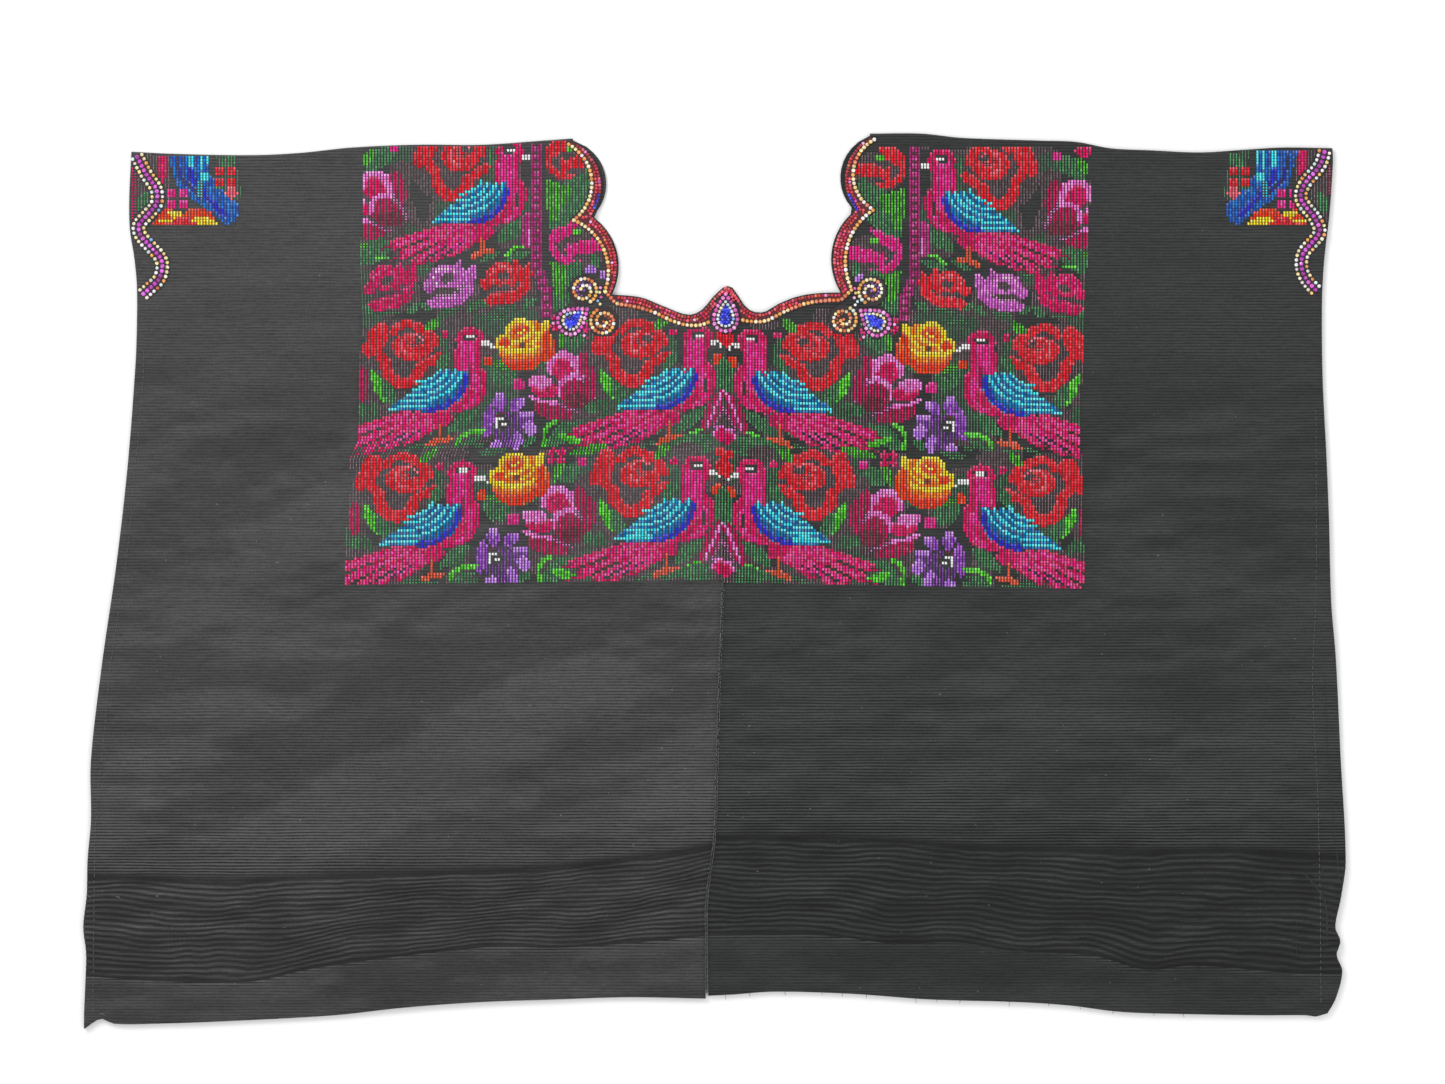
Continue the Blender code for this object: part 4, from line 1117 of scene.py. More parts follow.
def floats(name, spots, threads, fills, edges, rng, material):
    """Closed floats of thread, each a low ridge with sloping ends, in one mesh, with painted shade at its
    foot and a painted highlight on its ridge.
    """
    count = len(spots)
    sizes = np.array([FILLS[fill] for fill in fills])
    half_x = STITCH / 2 * sizes[:, 0] * rng.uniform(0.9, 1.08, count)
    half_y = ROW / 2 * sizes[:, 1] * rng.uniform(0.93, 1.0, count)
    rise = sizes[:, 2] * rng.uniform(0.85, 1.1, count)
    x, y = spots[:, 0], spots[:, 1]
    foot = surface(x, y) - 0.06 * MM
    lean = rng.normal(0, 0.03, count) * half_y
    corners = []
    for sx, sy in CORNERS:
        corners.append(np.stack([x + sx * half_x + sy * lean, y + sy * half_y, foot], 1))
    for sy in (-1, 1):
        corners.append(np.stack([x + sy * lean, y + sy * half_y * 0.62, foot + rise], 1))
    points = np.stack(corners, 1).reshape(-1, 3)
    first = np.arange(count)[:, None] * 6
    quads = np.concatenate([first + [0, 3, 2, 1], first + [0, 4, 5, 3], first + [1, 2, 5, 4]])
    triangles = np.concatenate([first + [0, 1, 4], first + [2, 3, 5]])
    colours = np.empty((count, 3))
    for thread in sorted(set(threads)):
        choice = THREAD_SHADES[thread]
        mine = threads == thread
        colours[mine] = choice[rng.integers(0, len(choice), mine.sum())]
    column_shift = field(x, y, STITCH, 9 * MM, 71)
    colours = colours * (1 + 0.12 * column_shift + rng.uniform(-0.08, 0.08, count))[:, None]
    # Painted highlights: most stitches at the top of a run of one thread, and a few others at random
    spark = (edges & (rng.random(count) < 0.6)) | ((rng.random(count) < 0.03) & (fills != "shade"))
    colours[spark] = colours[spark] * 1.1 + 0.06
    # Painted shade at each float's four foot corners and a painted highlight at its two ridge points
    shade = np.array([0.52, 0.52, 0.52, 0.52, 1.34, 1.34])
    points_colour = np.clip(colours[:, None, :] * shade[None, :, None], 0, 1).reshape(-1, 3)
    piece = make_object(name, points, quads.tolist() + triangles.tolist(), material)
    colour_points(piece, "thread", points_colour)
    return piece


# How far the brocade stays from what lies beside it
FOLD_MARGIN = 1.5 * MM
CORNER_MARGIN = 3 * MM
GOLD_MARGIN = 1.9 * MM
SCROLL_MARGIN = 11.3 * MM  # from the scroll's middle
DROP_MARGIN = 1.12  # share of the drop's outline
SEAM_MARGIN = 0.45 * STITCH
ARM_MARGIN = 6.2 * MM
SIDE_MARGIN = 1.2 * MM


def chosen_stitches(chart, filled, keep, x, y):
    """Places, threads, fills and upper edges of the stitches that are kept."""
    parts = (chart.thread, chart.fill, chart.upper_edges())
    return [np.stack([x, y], 1)[keep]] + [values[filled][keep] for values in parts]


def make_brocade(half, chart, patch, material):
    """All floats of one loom width, clear of its neck, its stones and its edges."""
    rng = np.random.default_rng(half.seed + 40)
    filled = chart.fill != "gap"
    across, down = chart.across[filled], chart.down[filled]
    x, y = chart_place(half, across, down)
    keep = (across > chart_edge(half, down)) & (y < half.fold(x) - FOLD_MARGIN)
    trim = NECK_TRIMS[f"neck_trim_{half.name}"]
    away, _ = line_distance(x, y, neck_gold(half, trim))
    gold_side = arcs(trim["gold_arcs"], -half.out, 2)
    beside = half.out * (x - np.interp(y, gold_side[:, 1], gold_side[:, 0])) > 0
    under = y < curve(trim["gold_floor"])(x)
    keep &= np.where(y > half.corner[1] - CORNER_MARGIN, beside, under | beside)
    keep &= away > GOLD_MARGIN
    for centre_x, centre_y, *_ in SCROLLS.values():
        keep &= np.hypot(x - centre_x * MM, y - centre_y * MM) > SCROLL_MARGIN
    for row in DROPS.values():
        keep &= drop_share(x, y, *row) > DROP_MARGIN
    keep &= abs(x - half.seam(y)) > SEAM_MARGIN
    garment = chosen_stitches(chart, filled, keep, x, y)

    filled = patch.fill != "gap"
    left, top = from_photo(*PATCH_CORNER_PX[half.name])
    x = left - half.out * patch.across[filled] * STITCH
    y = top - patch.down[filled] * STITCH
    arm = smooth_line(ARM_TRIMS[f"arm_trim_{half.name}"])
    keep = (line_distance(x, y, arm)[0] > ARM_MARGIN) & (y < half.fold(x) - FOLD_MARGIN)
    keep &= half.out * (half.side(y) - x) > SIDE_MARGIN
    beside_arm = chosen_stitches(patch, filled, keep, x, y)
    stitches = [np.concatenate(parts) for parts in zip(garment, beside_arm)]
    return floats(f"brocade_{half.name}", *stitches, rng, material)


def neck_gold(half, trim):
    """Line of the gold stones: along the neck's floor, then up beside the scallops."""
    floor = curve(trim["gold_floor"])
    start, end = trim["gold_floor"][0][0] * MM, trim["gold_floor"][-1][0] * MM
    x = np.linspace(start, end, 30)
    return np.concatenate([np.stack([x, floor(x)], 1), arcs(trim["gold_arcs"], -half.out, 2)])


def drop_share(x, y, drop_x, drop_y, radius, length, tip):
    """How far out of a drop's outline a place lies: 1 on the outline, less within it."""
    way = math.radians(tip)
    dx, dy = x / MM - drop_x, y / MM - drop_y
    ahead = dx * math.cos(way) + dy * math.sin(way)
    across = -dx * math.sin(way) + dy * math.cos(way)
    position = np.clip((ahead - length / 2 + radius) / (length / 2), -1, 1)
    t = np.arccos(position)
    width = 1.3 * radius * np.sin(t) * np.sin(t / 2) ** 1.1
    outside = np.abs(ahead - length / 2 + radius) > length / 2
    return np.where(outside, 2, np.abs(across) / np.maximum(width, 0.01))


def drop_outline(radius, length, tip_way, share, steps=120):
    """Pear-shaped outline about the middle of its round end."""
    tip_way = math.radians(tip_way)
    t = np.linspace(0, 2 * np.pi, steps + 1)
    across = radius * 1.3 * np.sin(t) * np.abs(np.sin(t / 2)) ** 1.1 * share
    ahead = (length / 2 * np.cos(t)) * share + (length / 2 - radius) * share
    return np.stack([ahead * math.cos(tip_way) - across * math.sin(tip_way),
                     ahead * math.sin(tip_way) + across * math.cos(tip_way)], 1)


STONE_SIDES = 8
STONE_RINGS = [(1.0, 0.0), (1.0, 0.22), (0.56, 0.62)]  # share of the radius, height in radii


def make_stones(name, rows, rng, material):
    """Faceted stones in one mesh, with painted glints on their facets and painted shade at their foot. A row
    is across, up, radius and colour name.
    """
    points, faces, colours = [], [], []
    for x, y, radius, kind in rows:
        turn = rng.uniform(0, np.pi)
        tilt = rng.normal(0, 0.1, 2)
        choice = STONE_SHADES[kind]
        colour = choice[rng.integers(0, len(choice))] * rng.uniform(0.8, 1.15)
        first = len(points)
        for share, rise in STONE_RINGS:
            for i in range(STONE_SIDES):
                angle = turn + 2 * np.pi * i / STONE_SIDES
                dx, dy = share * radius * np.cos(angle), share * radius * np.sin(angle)
                lean = (tilt[0] * dx + tilt[1] * dy) if rise else 0
                points.append((x + dx, y + dy, STONE_BASE + rise * radius + lean))
                # Painted glints: the upper corners lighter and darker at random; painted shade: the foot
                # corners darker
                facet = rng.uniform(0.75, 1.25) if rise else 0.5
                colours.append(np.clip(colour * facet, 0, 1))
        n = STONE_SIDES
        faces.append([first + i for i in range(n)][::-1])
        for ring in range(len(STONE_RINGS) - 1):
            a = first + ring * n
            for i in range(n):
                j = (i + 1) % n
                faces.append([a + i, a + j, a + n + j, a + n + i])
        faces.append([first + (len(STONE_RINGS) - 1) * n + i for i in range(n)])
    piece = make_object(name, points, faces, material, smooth=False)
    colour_points(piece, "glint", np.array(colours))
    return piece


def make_strip(name, outer, inner, material):
    """A thin closed band between two lines of points."""
    count = len(outer)
    points, faces = [], []
    for a, b in zip(outer, inner):
        points += [(*a, BACKING_FOOT), (*a, STONE_BASE), (*b, STONE_BASE), (*b, BACKING_FOOT)]
    for i in range(count - 1):
        for k in range(4):
            j = (k + 1) % 4
            faces.append([4 * i + k, 4 * i + 4 + k, 4 * i + 4 + j, 4 * i + j])
    faces.append([3, 2, 1, 0])
    faces.append([4 * (count - 1) + k for k in range(4)])
    return make_object(name, points, faces, material, smooth=False)


def facing_out(piece):
    """Turns a piece's faces so that they all point out."""
    bm = bmesh.new()
    bm.from_mesh(piece.data)
    bmesh.ops.recalc_face_normals(bm, faces=bm.faces)
    bm.to_mesh(piece.data)
    bm.free()
    return piece


GOLD_PITCH = 3.1 * MM
GOLD_RADIUS = 1.42 * MM
RED_PITCH = 2.4 * MM
RED_RADIUS = 1.14 * MM
RED_INSETS = (2.0, 4.3, 6.6, 8.9, 11.2, 13.5)
RED_CLEAR = 2.4 * MM  # from the line of the gold stones
RED_JITTER = 0.12 * MM
RED_SHARE = 0.72
OTHER_REDS = {"crimson": 0.6, "pink": 0.25, "rust": 0.15}
BLUE_HEIGHTS = (267 * MM, 279 * MM)
BLUE_INSET = 3
AMBER_HEIGHTS = (195 * MM, 215 * MM)
AMBER_SHARE = 0.12
NEAR_DROP = 1.25  # share of the drop's outline


def rim_line(half):
    """Edge of the front's neck from the middle's tip, along the floor and up the scallops."""
    tip = half.seam(213 * MM) + half.out * SEAM_GAP / 2
    x = np.linspace(tip, half.corner[0], 60)
    return np.concatenate([np.stack([x, half.neck_floor(x)], 1), half.scallop[1][1:]])


def make_neck_trim(half, materials):
    name = f"neck_trim_{half.name}"
    trim = NECK_TRIMS[name]
    rng = np.random.default_rng(half.seed + 60)
    gold = neck_gold(half, trim)
    rim = rim_line(half)
    rows = []
    for x, y in even_spots(gold, GOLD_PITCH)[0]:
        kind = "amber" if AMBER_HEIGHTS[0] < y < AMBER_HEIGHTS[1] or rng.random() < AMBER_SHARE else "gold"
        rows.append((x, y, GOLD_RADIUS * rng.uniform(0.92, 1.05), kind))
    for inset in RED_INSETS:
        line = offset_line(rim, -half.out * inset * MM)
        spots, _ = even_spots(line, RED_PITCH)
        away, side = line_distance(spots[:, 0], spots[:, 1], gold)
        edge, _ = line_distance(spots[:, 0], spots[:, 1], rim)
        fits = (away > RED_CLEAR) & (side * half.out > 0) & (edge > (inset - 0.5) * MM)
        for x, y in spots[fits] + rng.normal(0, RED_JITTER, (fits.sum(), 2)):
            if any(drop_share(x, y, *row) < NEAR_DROP for row in DROPS.values()):
                continue
            kind = "red"
            if rng.random() >= RED_SHARE:
                kind = rng.choice(list(OTHER_REDS), p=list(OTHER_REDS.values()))
            if BLUE_HEIGHTS[0] < y < BLUE_HEIGHTS[1] and inset < BLUE_INSET:
                kind = "blue"
            rows.append((x, y, RED_RADIUS * rng.uniform(0.88, 1.05), kind))
    stones = make_stones(f"neck_stones_{half.name}", rows, rng, materials["stones"])
    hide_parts(name)
    count = 140
    outer = resample(offset_line(rim[6:], -half.out * 0.9 * MM), count)
    inner = resample(offset_line(gold, -half.out * 1.5 * MM), count)
    backing = facing_out(make_strip(f"neck_backing_{half.name}", outer, inner, materials["red_backing"]))
    return [stones, backing]


ARM_PITCH = 3.6 * MM
ARM_OFFSET = 3.7 * MM
ARM_RADII = (1.55 * MM, 1.28 * MM)  # middle and outer stones


def make_arm_trim(half, materials):
    name = f"arm_trim_{half.name}"
    rng = np.random.default_rng(half.seed + 80)
    middle = smooth_line(ARM_TRIMS[name])
    rows = []
    for x, y in even_spots(middle, ARM_PITCH)[0]:
        rows.append((x, y, ARM_RADII[0], "magenta"))
    for side in (-1, 1):
        for x, y in even_spots(offset_line(middle, side * ARM_OFFSET), ARM_PITCH * 0.95)[0]:
            kind = rng.choice(["pearl", "gold", "sky", "amber"], p=[0.6, 0.26, 0.04, 0.1])
            rows.append((x, y, ARM_RADII[1] * rng.uniform(0.9, 1.08), kind))
    stones = make_stones(f"arm_stones_{half.name}", rows, rng, materials["stones"])
    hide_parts(name)
    count = 90
    outer = resample(offset_line(middle, 5.2 * MM), count)
    inner = resample(offset_line(middle, -5.2 * MM), count)
    backing = facing_out(make_strip(f"arm_backing_{half.name}", outer, inner, materials["dark_backing"]))
    return [stones, backing]


def plate(name, outline, material):
    """A thin closed plate of the given outline."""
    n = len(outline)
    points = [(x, y, z) for z in (BACKING_FOOT, STONE_BASE) for x, y in outline]
    faces = [[i, (i + 1) % n, n + (i + 1) % n, n + i] for i in range(n)]
    faces += [list(range(n))[::-1], list(range(n, 2 * n))]
    return facing_out(make_object(name, points, faces, material, smooth=False))


DROP_RINGS = [  # share of the outline, pitch and radius in millimetres, stones
    (0.87, 3.3, 1.45, "pink"),
    (0.57, 2.75, 1.2, "pearl"),
]
DROP_CORE_PITCH = 2.1
CORE_ROW_SHARE = 0.87  # distance of the core's rows, as a share of its stones' distance
CORE_SHARE = 0.40  # of the outline that the core fills
CORE_AHEAD = 0.36  # of the drop's length, towards its tip
CORE_BACK = 0.42  # of the drop's radius, away from its tip
CORE_REACH = 0.4  # of the drop's length, all round
BESIDE_DROP = [  # stones beside a corner drop: across towards the seam, up, in millimetres, and name
    (-13.2, 2.2, "crimson"), (-12.6, -1.2, "pink"), (-14.6, -3.4, "crimson"), (-12.2, -5.6, "crimson"),
    (10.2, -7, "crimson"), (9.6, -10.2, "pink"), (12.2, -11.8, "crimson"),
]
BESIDE_SCROLL = [
    (11.9, 1.8, "pink"), (11.4, -1.5, "pearl"), (12.4, -4.9, "pink"), (10, -7.6, "sky"), (11.6, -10, "pearl"),
]
SCROLL_PITCH = 2.9 * MM
SCROLL_RADIUS = 1.35 * MM
INNER_SHARE = 0.66  # how far out the inner stones lie
INNER_PITCH = 2.6 * MM
INNER_CLEAR = 2.1 * MM
INNER_END = 40  # points of the spiral's end that have none


def make_drop(name, row, materials):
    x, y, radius, length, tip = row
    rng = np.random.default_rng(len(name) * 17 + 5)
    rows = []
    middle = np.array([x, y]) * MM
    way = math.radians(tip)
    shift = np.array([math.cos(way), math.sin(way)]) * MM
    for share, pitch, size, kind in DROP_RINGS:
        line = middle + drop_outline(radius, length, tip, share) * MM + shift * (1 - share) * length * 0.08
        spots = even_spots(line, pitch * MM)[0][:-1]
        for sx, sy in spots:
            chosen = "sky" if kind == "pearl" and rng.random() < 0.18 else kind
            rows.append((sx, sy, size * MM * rng.uniform(0.94, 1.05), chosen))
    steps = np.arange(-8, 9) * DROP_CORE_PITCH
    for row_index, dy in enumerate(steps):
        for dx in steps + (row_index % 2) * DROP_CORE_PITCH / 2:
            sx, sy = x + dx, y + dy * CORE_ROW_SHARE
            ahead = dx * math.cos(way) + dy * CORE_ROW_SHARE * math.sin(way)
            near = -radius * CORE_BACK < ahead < length * CORE_AHEAD
            near = near and math.hypot(dx, dy) < length * CORE_REACH
            if near and drop_share(np.array(sx * MM), np.array(sy * MM), *row) < CORE_SHARE:
                rows.append((sx * MM, sy * MM, 1.12 * MM, "blue"))
    if name != "drop_centre":
        for dx, dy, kind in BESIDE_DROP:
            rows.append(((x - np.sign(x) * dx) * MM, (y + dy) * MM, 1.15 * MM, kind))
    stones = make_stones(f"{name}_stones", rows, rng, materials["stones"])
    outline = middle + drop_outline(radius, length, tip, 1.0)[:-1][::2] * MM
    backing = plate(f"{name}_backing", outline, materials["dark_backing"])
    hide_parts(name)
    return [stones, backing]


def make_scroll(name, row, materials):
    x, y, start, turn = row
    rng = np.random.default_rng(len(name) * 31 + 7)
    part = np.linspace(0, 1, 160)
    radius = SCROLL_START + (SCROLL_END - SCROLL_START) * part ** SCROLL_CLOSING
    angle = math.radians(start) + turn * 2 * np.pi * SCROLL_TURNS * part
    line = np.stack([x * MM + radius * np.cos(angle), y * MM + radius * np.sin(angle)], 1)
    rows = []
    lower = "lower" in name
    for sx, sy in even_spots(line, SCROLL_PITCH)[0]:
        kind = rng.choice(["gold", "amber", "pearl"], p=[0.35, 0.5, 0.15] if lower else [0.55, 0.3, 0.15])
        rows.append((sx, sy, SCROLL_RADIUS * rng.uniform(0.92, 1.05), kind))
    inner = "rust" if lower else "purple"
    middle = np.array([x, y]) * MM
    for sx, sy in even_spots(middle + (line[:-INNER_END] - middle) * INNER_SHARE, INNER_PITCH)[0]:
        if min(math.hypot(sx - r[0], sy - r[1]) for r in rows) > INNER_CLEAR:
            rows.append((sx, sy, 1.0 * MM, inner))
    rows.append((x * MM, y * MM, 1.1 * MM, inner))
    if not lower:
        for dx, dy, kind in BESIDE_SCROLL:
            rows.append(((x - np.sign(x) * dx) * MM, (y + dy) * MM, 1.1 * MM, kind))
    stones = make_stones(f"{name}_stones", rows, rng, materials["stones"])
    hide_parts(name)
    turns = np.linspace(0, 2 * np.pi, 49)[:-1]
    reach = SCROLL_START + 1.5 * MM
    outline = np.stack([x * MM + reach * np.cos(turns), y * MM + reach * np.sin(turns)], 1)
    backing = plate(f"{name}_backing", outline, materials["dark_backing"])
    return [stones, backing]


def tube(points, radius, sides=5):
    """Points and faces of a closed tube along a line in space, thinner at its ends."""
    points = np.asarray(points, float)
    way = np.gradient(points, axis=0)
    way /= np.linalg.norm(way, axis=1)[:, None]
    side = np.cross(way, [0, 0, 1.0])
    side /= np.maximum(np.linalg.norm(side, axis=1)[:, None], 1e-9)
    up = np.cross(side, way)
    made, faces = [], []
    count = len(points)
    for i, (spot, s, u) in enumerate(zip(points, side, up)):
        thin = 0.55 if i in (0, count - 1) else 1
        for k in range(sides):
            angle = 2 * np.pi * k / sides
            made.append(spot + thin * radius * (s * np.cos(angle) + u * np.sin(angle)))
    for i in range(count - 1):
        for k in range(sides):
            j = (k + 1) % sides
            faces.append([i * sides + k, i * sides + j, (i + 1) * sides + j, (i + 1) * sides + k])
    faces.append(list(range(sides))[::-1])
    faces.append([(count - 1) * sides + k for k in range(sides)])
    return made, faces


def join_tubes(name, tubes, material, sides=5):
    points, faces = [], []
    for line, radius in tubes:
        made, these = tube(line, radius, sides)
        faces += [[len(points) + k for k in face] for face in these]
        points += made
    return facing_out(make_object(name, points, faces, material))


def arch(a, b, rise, height, steps=5):
    """A stitch from one place to another, bowed up between its ends."""
    t = np.linspace(0, 1, steps)[:, None]
    line = np.array(a) * (1 - t) + np.array(b) * t
    z = height + rise * np.sin(np.pi * t)
    return np.concatenate([line, z], 1)


# Stitching of the side seams: its line in pixels of the photograph, and its stitches
SIDE_STITCH_PITCH = 4.6 * MM
SIDE_STITCH_LENGTH = 2.7 * MM
SIDE_STITCHES_PX = {
    "left": [(144, 352), (142, 398), (134, 481), (128, 548), (120, 603), (110, 670), (105, 727), (100, 774),
             (97, 814), (95, 847), (93, 1010)],
    "right": [(1316, 412), (1316, 580), (1313.6, 644), (1312.6, 694), (1317.6, 794), (1319, 854),
              (1321, 1000)],
}


def make_stitches(half, material):
    """Running stitches down the side seam."""
    rng = np.random.default_rng(half.seed + 90)
    tubes = []
    spots, way = even_spots(photo_line(SIDE_STITCHES_PX[half.name]), SIDE_STITCH_PITCH)
    for spot, w in zip(spots, way):
        length = SIDE_STITCH_LENGTH * rng.uniform(0.8, 1.15)
        if not half.hem(spot[0]) + 4 * MM < spot[1]:
            continue
        tubes.append((arch(spot - w * length / 2, spot + w * length / 2, 0.22 * MM,
                           surface_with_band(half, *spot) + 0.04 * MM), 0.26 * MM))
    return join_tubes(f"side_stitches_{half.name}", tubes, material)


def surface_with_band(half, x, y):
    """Height of the front's face, the band's ripples included."""
    part = half.band_part(x, y)
    phase, strength = half.ripple(x, part)
    ripple = RIPPLE_HEIGHT * strength * crest(phase) if 0 < part < 1 else 0
    return float(surface(x, y) + ripple)


def make_centre_seam(halves, material):
    """Thread that draws the two loom widths together, in short slanted stitches."""
    rng = np.random.default_rng(3)
    tubes = []
    seam = halves[0].seam
    up = np.arange(-296 * MM, 206 * MM, 2 * MM)
    heights = [min(surface_with_band(half, float(seam(y)), y) for half in halves) for y in up]
    for height in (np.array(heights) - 0.5 * MM, np.full(len(up), 0.45 * MM)):
        tubes.append((np.stack([seam(up), up, height], 1), 0.34 * MM))
    for y in np.arange(-296 * MM, 184 * MM, 3.4 * MM):
        x = float(seam(y))
        z = max(surface_with_band(half, x + half.out * 1.2 * MM, y) for half in halves) - 0.28 * MM
        reach = rng.uniform(0.9, 1.4) * MM
        tubes.append((arch((x - reach, y - 0.5 * MM), (x + reach, y + 0.5 * MM), 0.12 * MM, z), 0.2 * MM))
    return join_tubes("centre_stitches", tubes, material)


# Wear of the cloth, and small folds drawn as dark tubes of painted shade, in pixels of the photograph
HEM_THREADS_PX = (725, 1200)
HEM_THREAD_STEPS_PX = (20, 50)
EDGE_THREADS_PX = [(88, 896), (118, 897), (102, 1014)]
PULLED_PX = [[(168 + 4 * i, 921 + 3 * (i % 3)), (169 + 4 * i, 950 - 4 * (i % 2))] for i in range(5)]
PULLED_PX += [[(1296, 919), (1296.5, 958)]]
PUCKERS_PX = [
    ([(1304, 873), (1324, 901), (1327, 937)], 2.4),
    ([(1010, 945), (1030, 955)], 1.8),
    ([(1324, 670), (1329, 777), (1334, 821), (1339, 881)], 1.3),
    ([(1311, 867), (1317, 864), (1322, 869), (1319, 876), (1312, 875)], 2.2),
]
PUCKER_SINK = 0.6  # share of a pucker's radius that is below the cloth's face
PULLED_SINK = 0.1 * MM
PULLED_RADIUS = 0.26 * MM


def on_cloth(halves, points_px, above):
    """Points in space for a line in pixels, a little above the cloth."""
    spots = photo_line(points_px)
    half = halves[int(spots[0][0] > 0)]
    return np.array([(x, y, surface_with_band(half, x, y) + above) for x, y in spots])


def make_loose_threads(halves, material):
    """Pale ends of yarn along the hem and at the side."""
    rng = np.random.default_rng(11)
    tubes = []
    px, end = HEM_THREADS_PX
    starts = []
    while px < end:
        starts.append(from_photo(px, 0)[0])
        px += rng.uniform(*HEM_THREAD_STEPS_PX)
    for x in starts:
        half = halves[int(x > 0)]
        up = float(half.hem(x))
        reach = rng.uniform(1.5, 4) * MM
        lean = rng.uniform(-1.5, 1.5) * MM
        line = [(x, up + 2 * MM, FRONT_TOP + 0.1 * MM), (x + lean / 2, up - 0.5 * MM, FRONT_TOP),
                (x + lean, up - reach, FRONT_TOP - 1.2 * MM)]
        tubes.append((line, 0.22 * MM))
    for place in EDGE_THREADS_PX:
        x, y = from_photo(*place)
        z = surface_with_band(halves[0], x, y) + 0.15 * MM
        line = [(x - 1.5 * MM, y, z), (x, y + 0.5 * MM, z + 0.3 * MM), (x + 2 * MM, y - MM, z)]
        tubes.append((line, 0.25 * MM))
    return join_tubes("loose_threads", tubes, material)


def make_puckers(halves, material):
    """Small hard folds where the cloth is drawn together, as near-black tubes of painted shade, and the dark
    lines of pulled warp.
    """
    tubes = [(on_cloth(halves, line, -PULLED_SINK), PULLED_RADIUS) for line in PULLED_PX]
    for line, radius_px in PUCKERS_PX:
        # Painted shade: each fold is a near-black tube sunk into the cloth
        radius = radius_px * PIXEL * 0.5
        tubes.append((on_cloth(halves, line, -PUCKER_SINK * radius), radius))
    return join_tubes("puckers", tubes, material)


class Shader:
    """A material's nodes, written from left to right."""

    def __init__(self, name, roughness, **sockets):
        self.material = bpy.data.materials.new(name)
        self.material.use_nodes = True
        self.tree = self.material.node_tree
        self.surface = self.tree.nodes["Principled BSDF"]
        self.surface.inputs["Roughness"].default_value = roughness
        for socket, value in sockets.items():
            self.surface.inputs[socket.replace("_", " ")].default_value = value

    def node(self, kind, **settings):
        made = self.tree.nodes.new(f"ShaderNode{kind}")
        for key, value in settings.items():
            setattr(made, key, value)
        return made

    def link(self, source, target):
        if hasattr(source, "is_linked"):
            self.tree.links.new(source, target)
        else:
            target.default_value = source

    def math(self, operation, a, b=0.0):
        made = self.node("Math", operation=operation)
        self.link(a, made.inputs[0])
        self.link(b, made.inputs[1])
        return made.outputs[0]

    def place(self, scale=(1, 1, 1)):
        """Places on the object in metres, times a scale."""
        spot = self.node("TexCoord").outputs["Object"]
        made = self.node("VectorMath", operation="MULTIPLY")
        self.link(spot, made.inputs[0])
        made.inputs[1].default_value = scale
        return made.outputs[0]

    def noise(self, scale, detail=2.0):
        made = self.node("TexNoise")
        made.inputs["Scale"].default_value = 1
        made.inputs["Detail"].default_value = detail
        self.link(self.place(scale), made.inputs["Vector"])
        return made.outputs[0]

    def ramp(self, value, low, high, new_low=0.0, new_high=1.0):
        made = self.node("MapRange")
        self.link(value, made.inputs["Value"])
        sockets = ("From Min", "From Max", "To Min", "To Max")
        for socket, number in zip(sockets, (low, high, new_low, new_high)):
            made.inputs[socket].default_value = number
        return made.outputs[0]

    def attribute(self, name, output="Color"):
        return self.node("Attribute", attribute_name=name).outputs[output]

    def times(self, colour, value):
        made = self.node("VectorMath", operation="SCALE")
        self.link(colour, made.inputs[0])
        self.link(value, made.inputs["Scale"])
        return made.outputs[0]

    def mix(self, share, a, b):
        made = self.node("Mix", data_type="RGBA")
        self.link(share, made.inputs["Factor"])
        self.link(a, made.inputs[6])
        self.link(b, made.inputs[7])
        return made.outputs[2]

    def bump(self, height, distance, strength=1.0):
        made = self.node("Bump")
        made.inputs["Distance"].default_value = distance
        made.inputs["Strength"].default_value = strength
        self.link(height, made.inputs["Height"])
        self.link(made.outputs[0], self.surface.inputs["Normal"])

    def colour(self, source):
        self.link(source, self.surface.inputs["Base Color"])


def cloth_material():
    """Charcoal cotton: fine crosswise ribs with painted light and shade, uneven yarn and a few white specks.
    """
    s = Shader("handwoven_cotton", 0.9, Sheen_Weight=0.12, Sheen_Roughness=0.5, Specular_IOR_Level=0.25)
    height = s.node("SeparateXYZ")
    s.link(s.place(), height.inputs[0])
    sway = s.noise((14, 60, 14))
    even = s.math("MULTIPLY", height.outputs[1], 2 * math.pi / RIB)
    rib = s.math("SINE", s.math("ADD", even, s.math("MULTIPLY", sway, 6.0)))
    yarn = s.noise((170, 1500, 170), 3.0)
    slub = s.noise((45, 900, 45), 2.0)
    warp = s.noise((1300, 240, 300), 2.0)
    light = s.math("ADD", s.ramp(yarn, 0.3, 0.7, 0.78, 1.22), s.ramp(slub, 0.35, 0.65, -0.09, 0.09))
    # Painted light and shade of the ribs: lighter on their crests, darker in their grooves
    strength = s.math("MULTIPLY", s.attribute("tint", "Alpha"), 0.85)
    light = s.math("ADD", light, s.math("MULTIPLY", rib, strength))
    light = s.math("ADD", light, s.ramp(warp, 0.35, 0.65, -0.10, 0.10))
    base = s.times(s.attribute("tint"), light)
    speck = s.ramp(s.noise((420, 620, 420), 0.0), 0.89, 0.91)
    s.colour(s.mix(s.math("MULTIPLY", speck, 0.3), base, (0.4, 0.4, 0.38, 1)))
    relief = s.math("ADD", s.math("MULTIPLY", rib, 0.35), s.math("ADD", yarn, s.math("MULTIPLY", warp, 0.5)))
    s.bump(relief, RIB_DEPTH, 0.7)
    return s.material


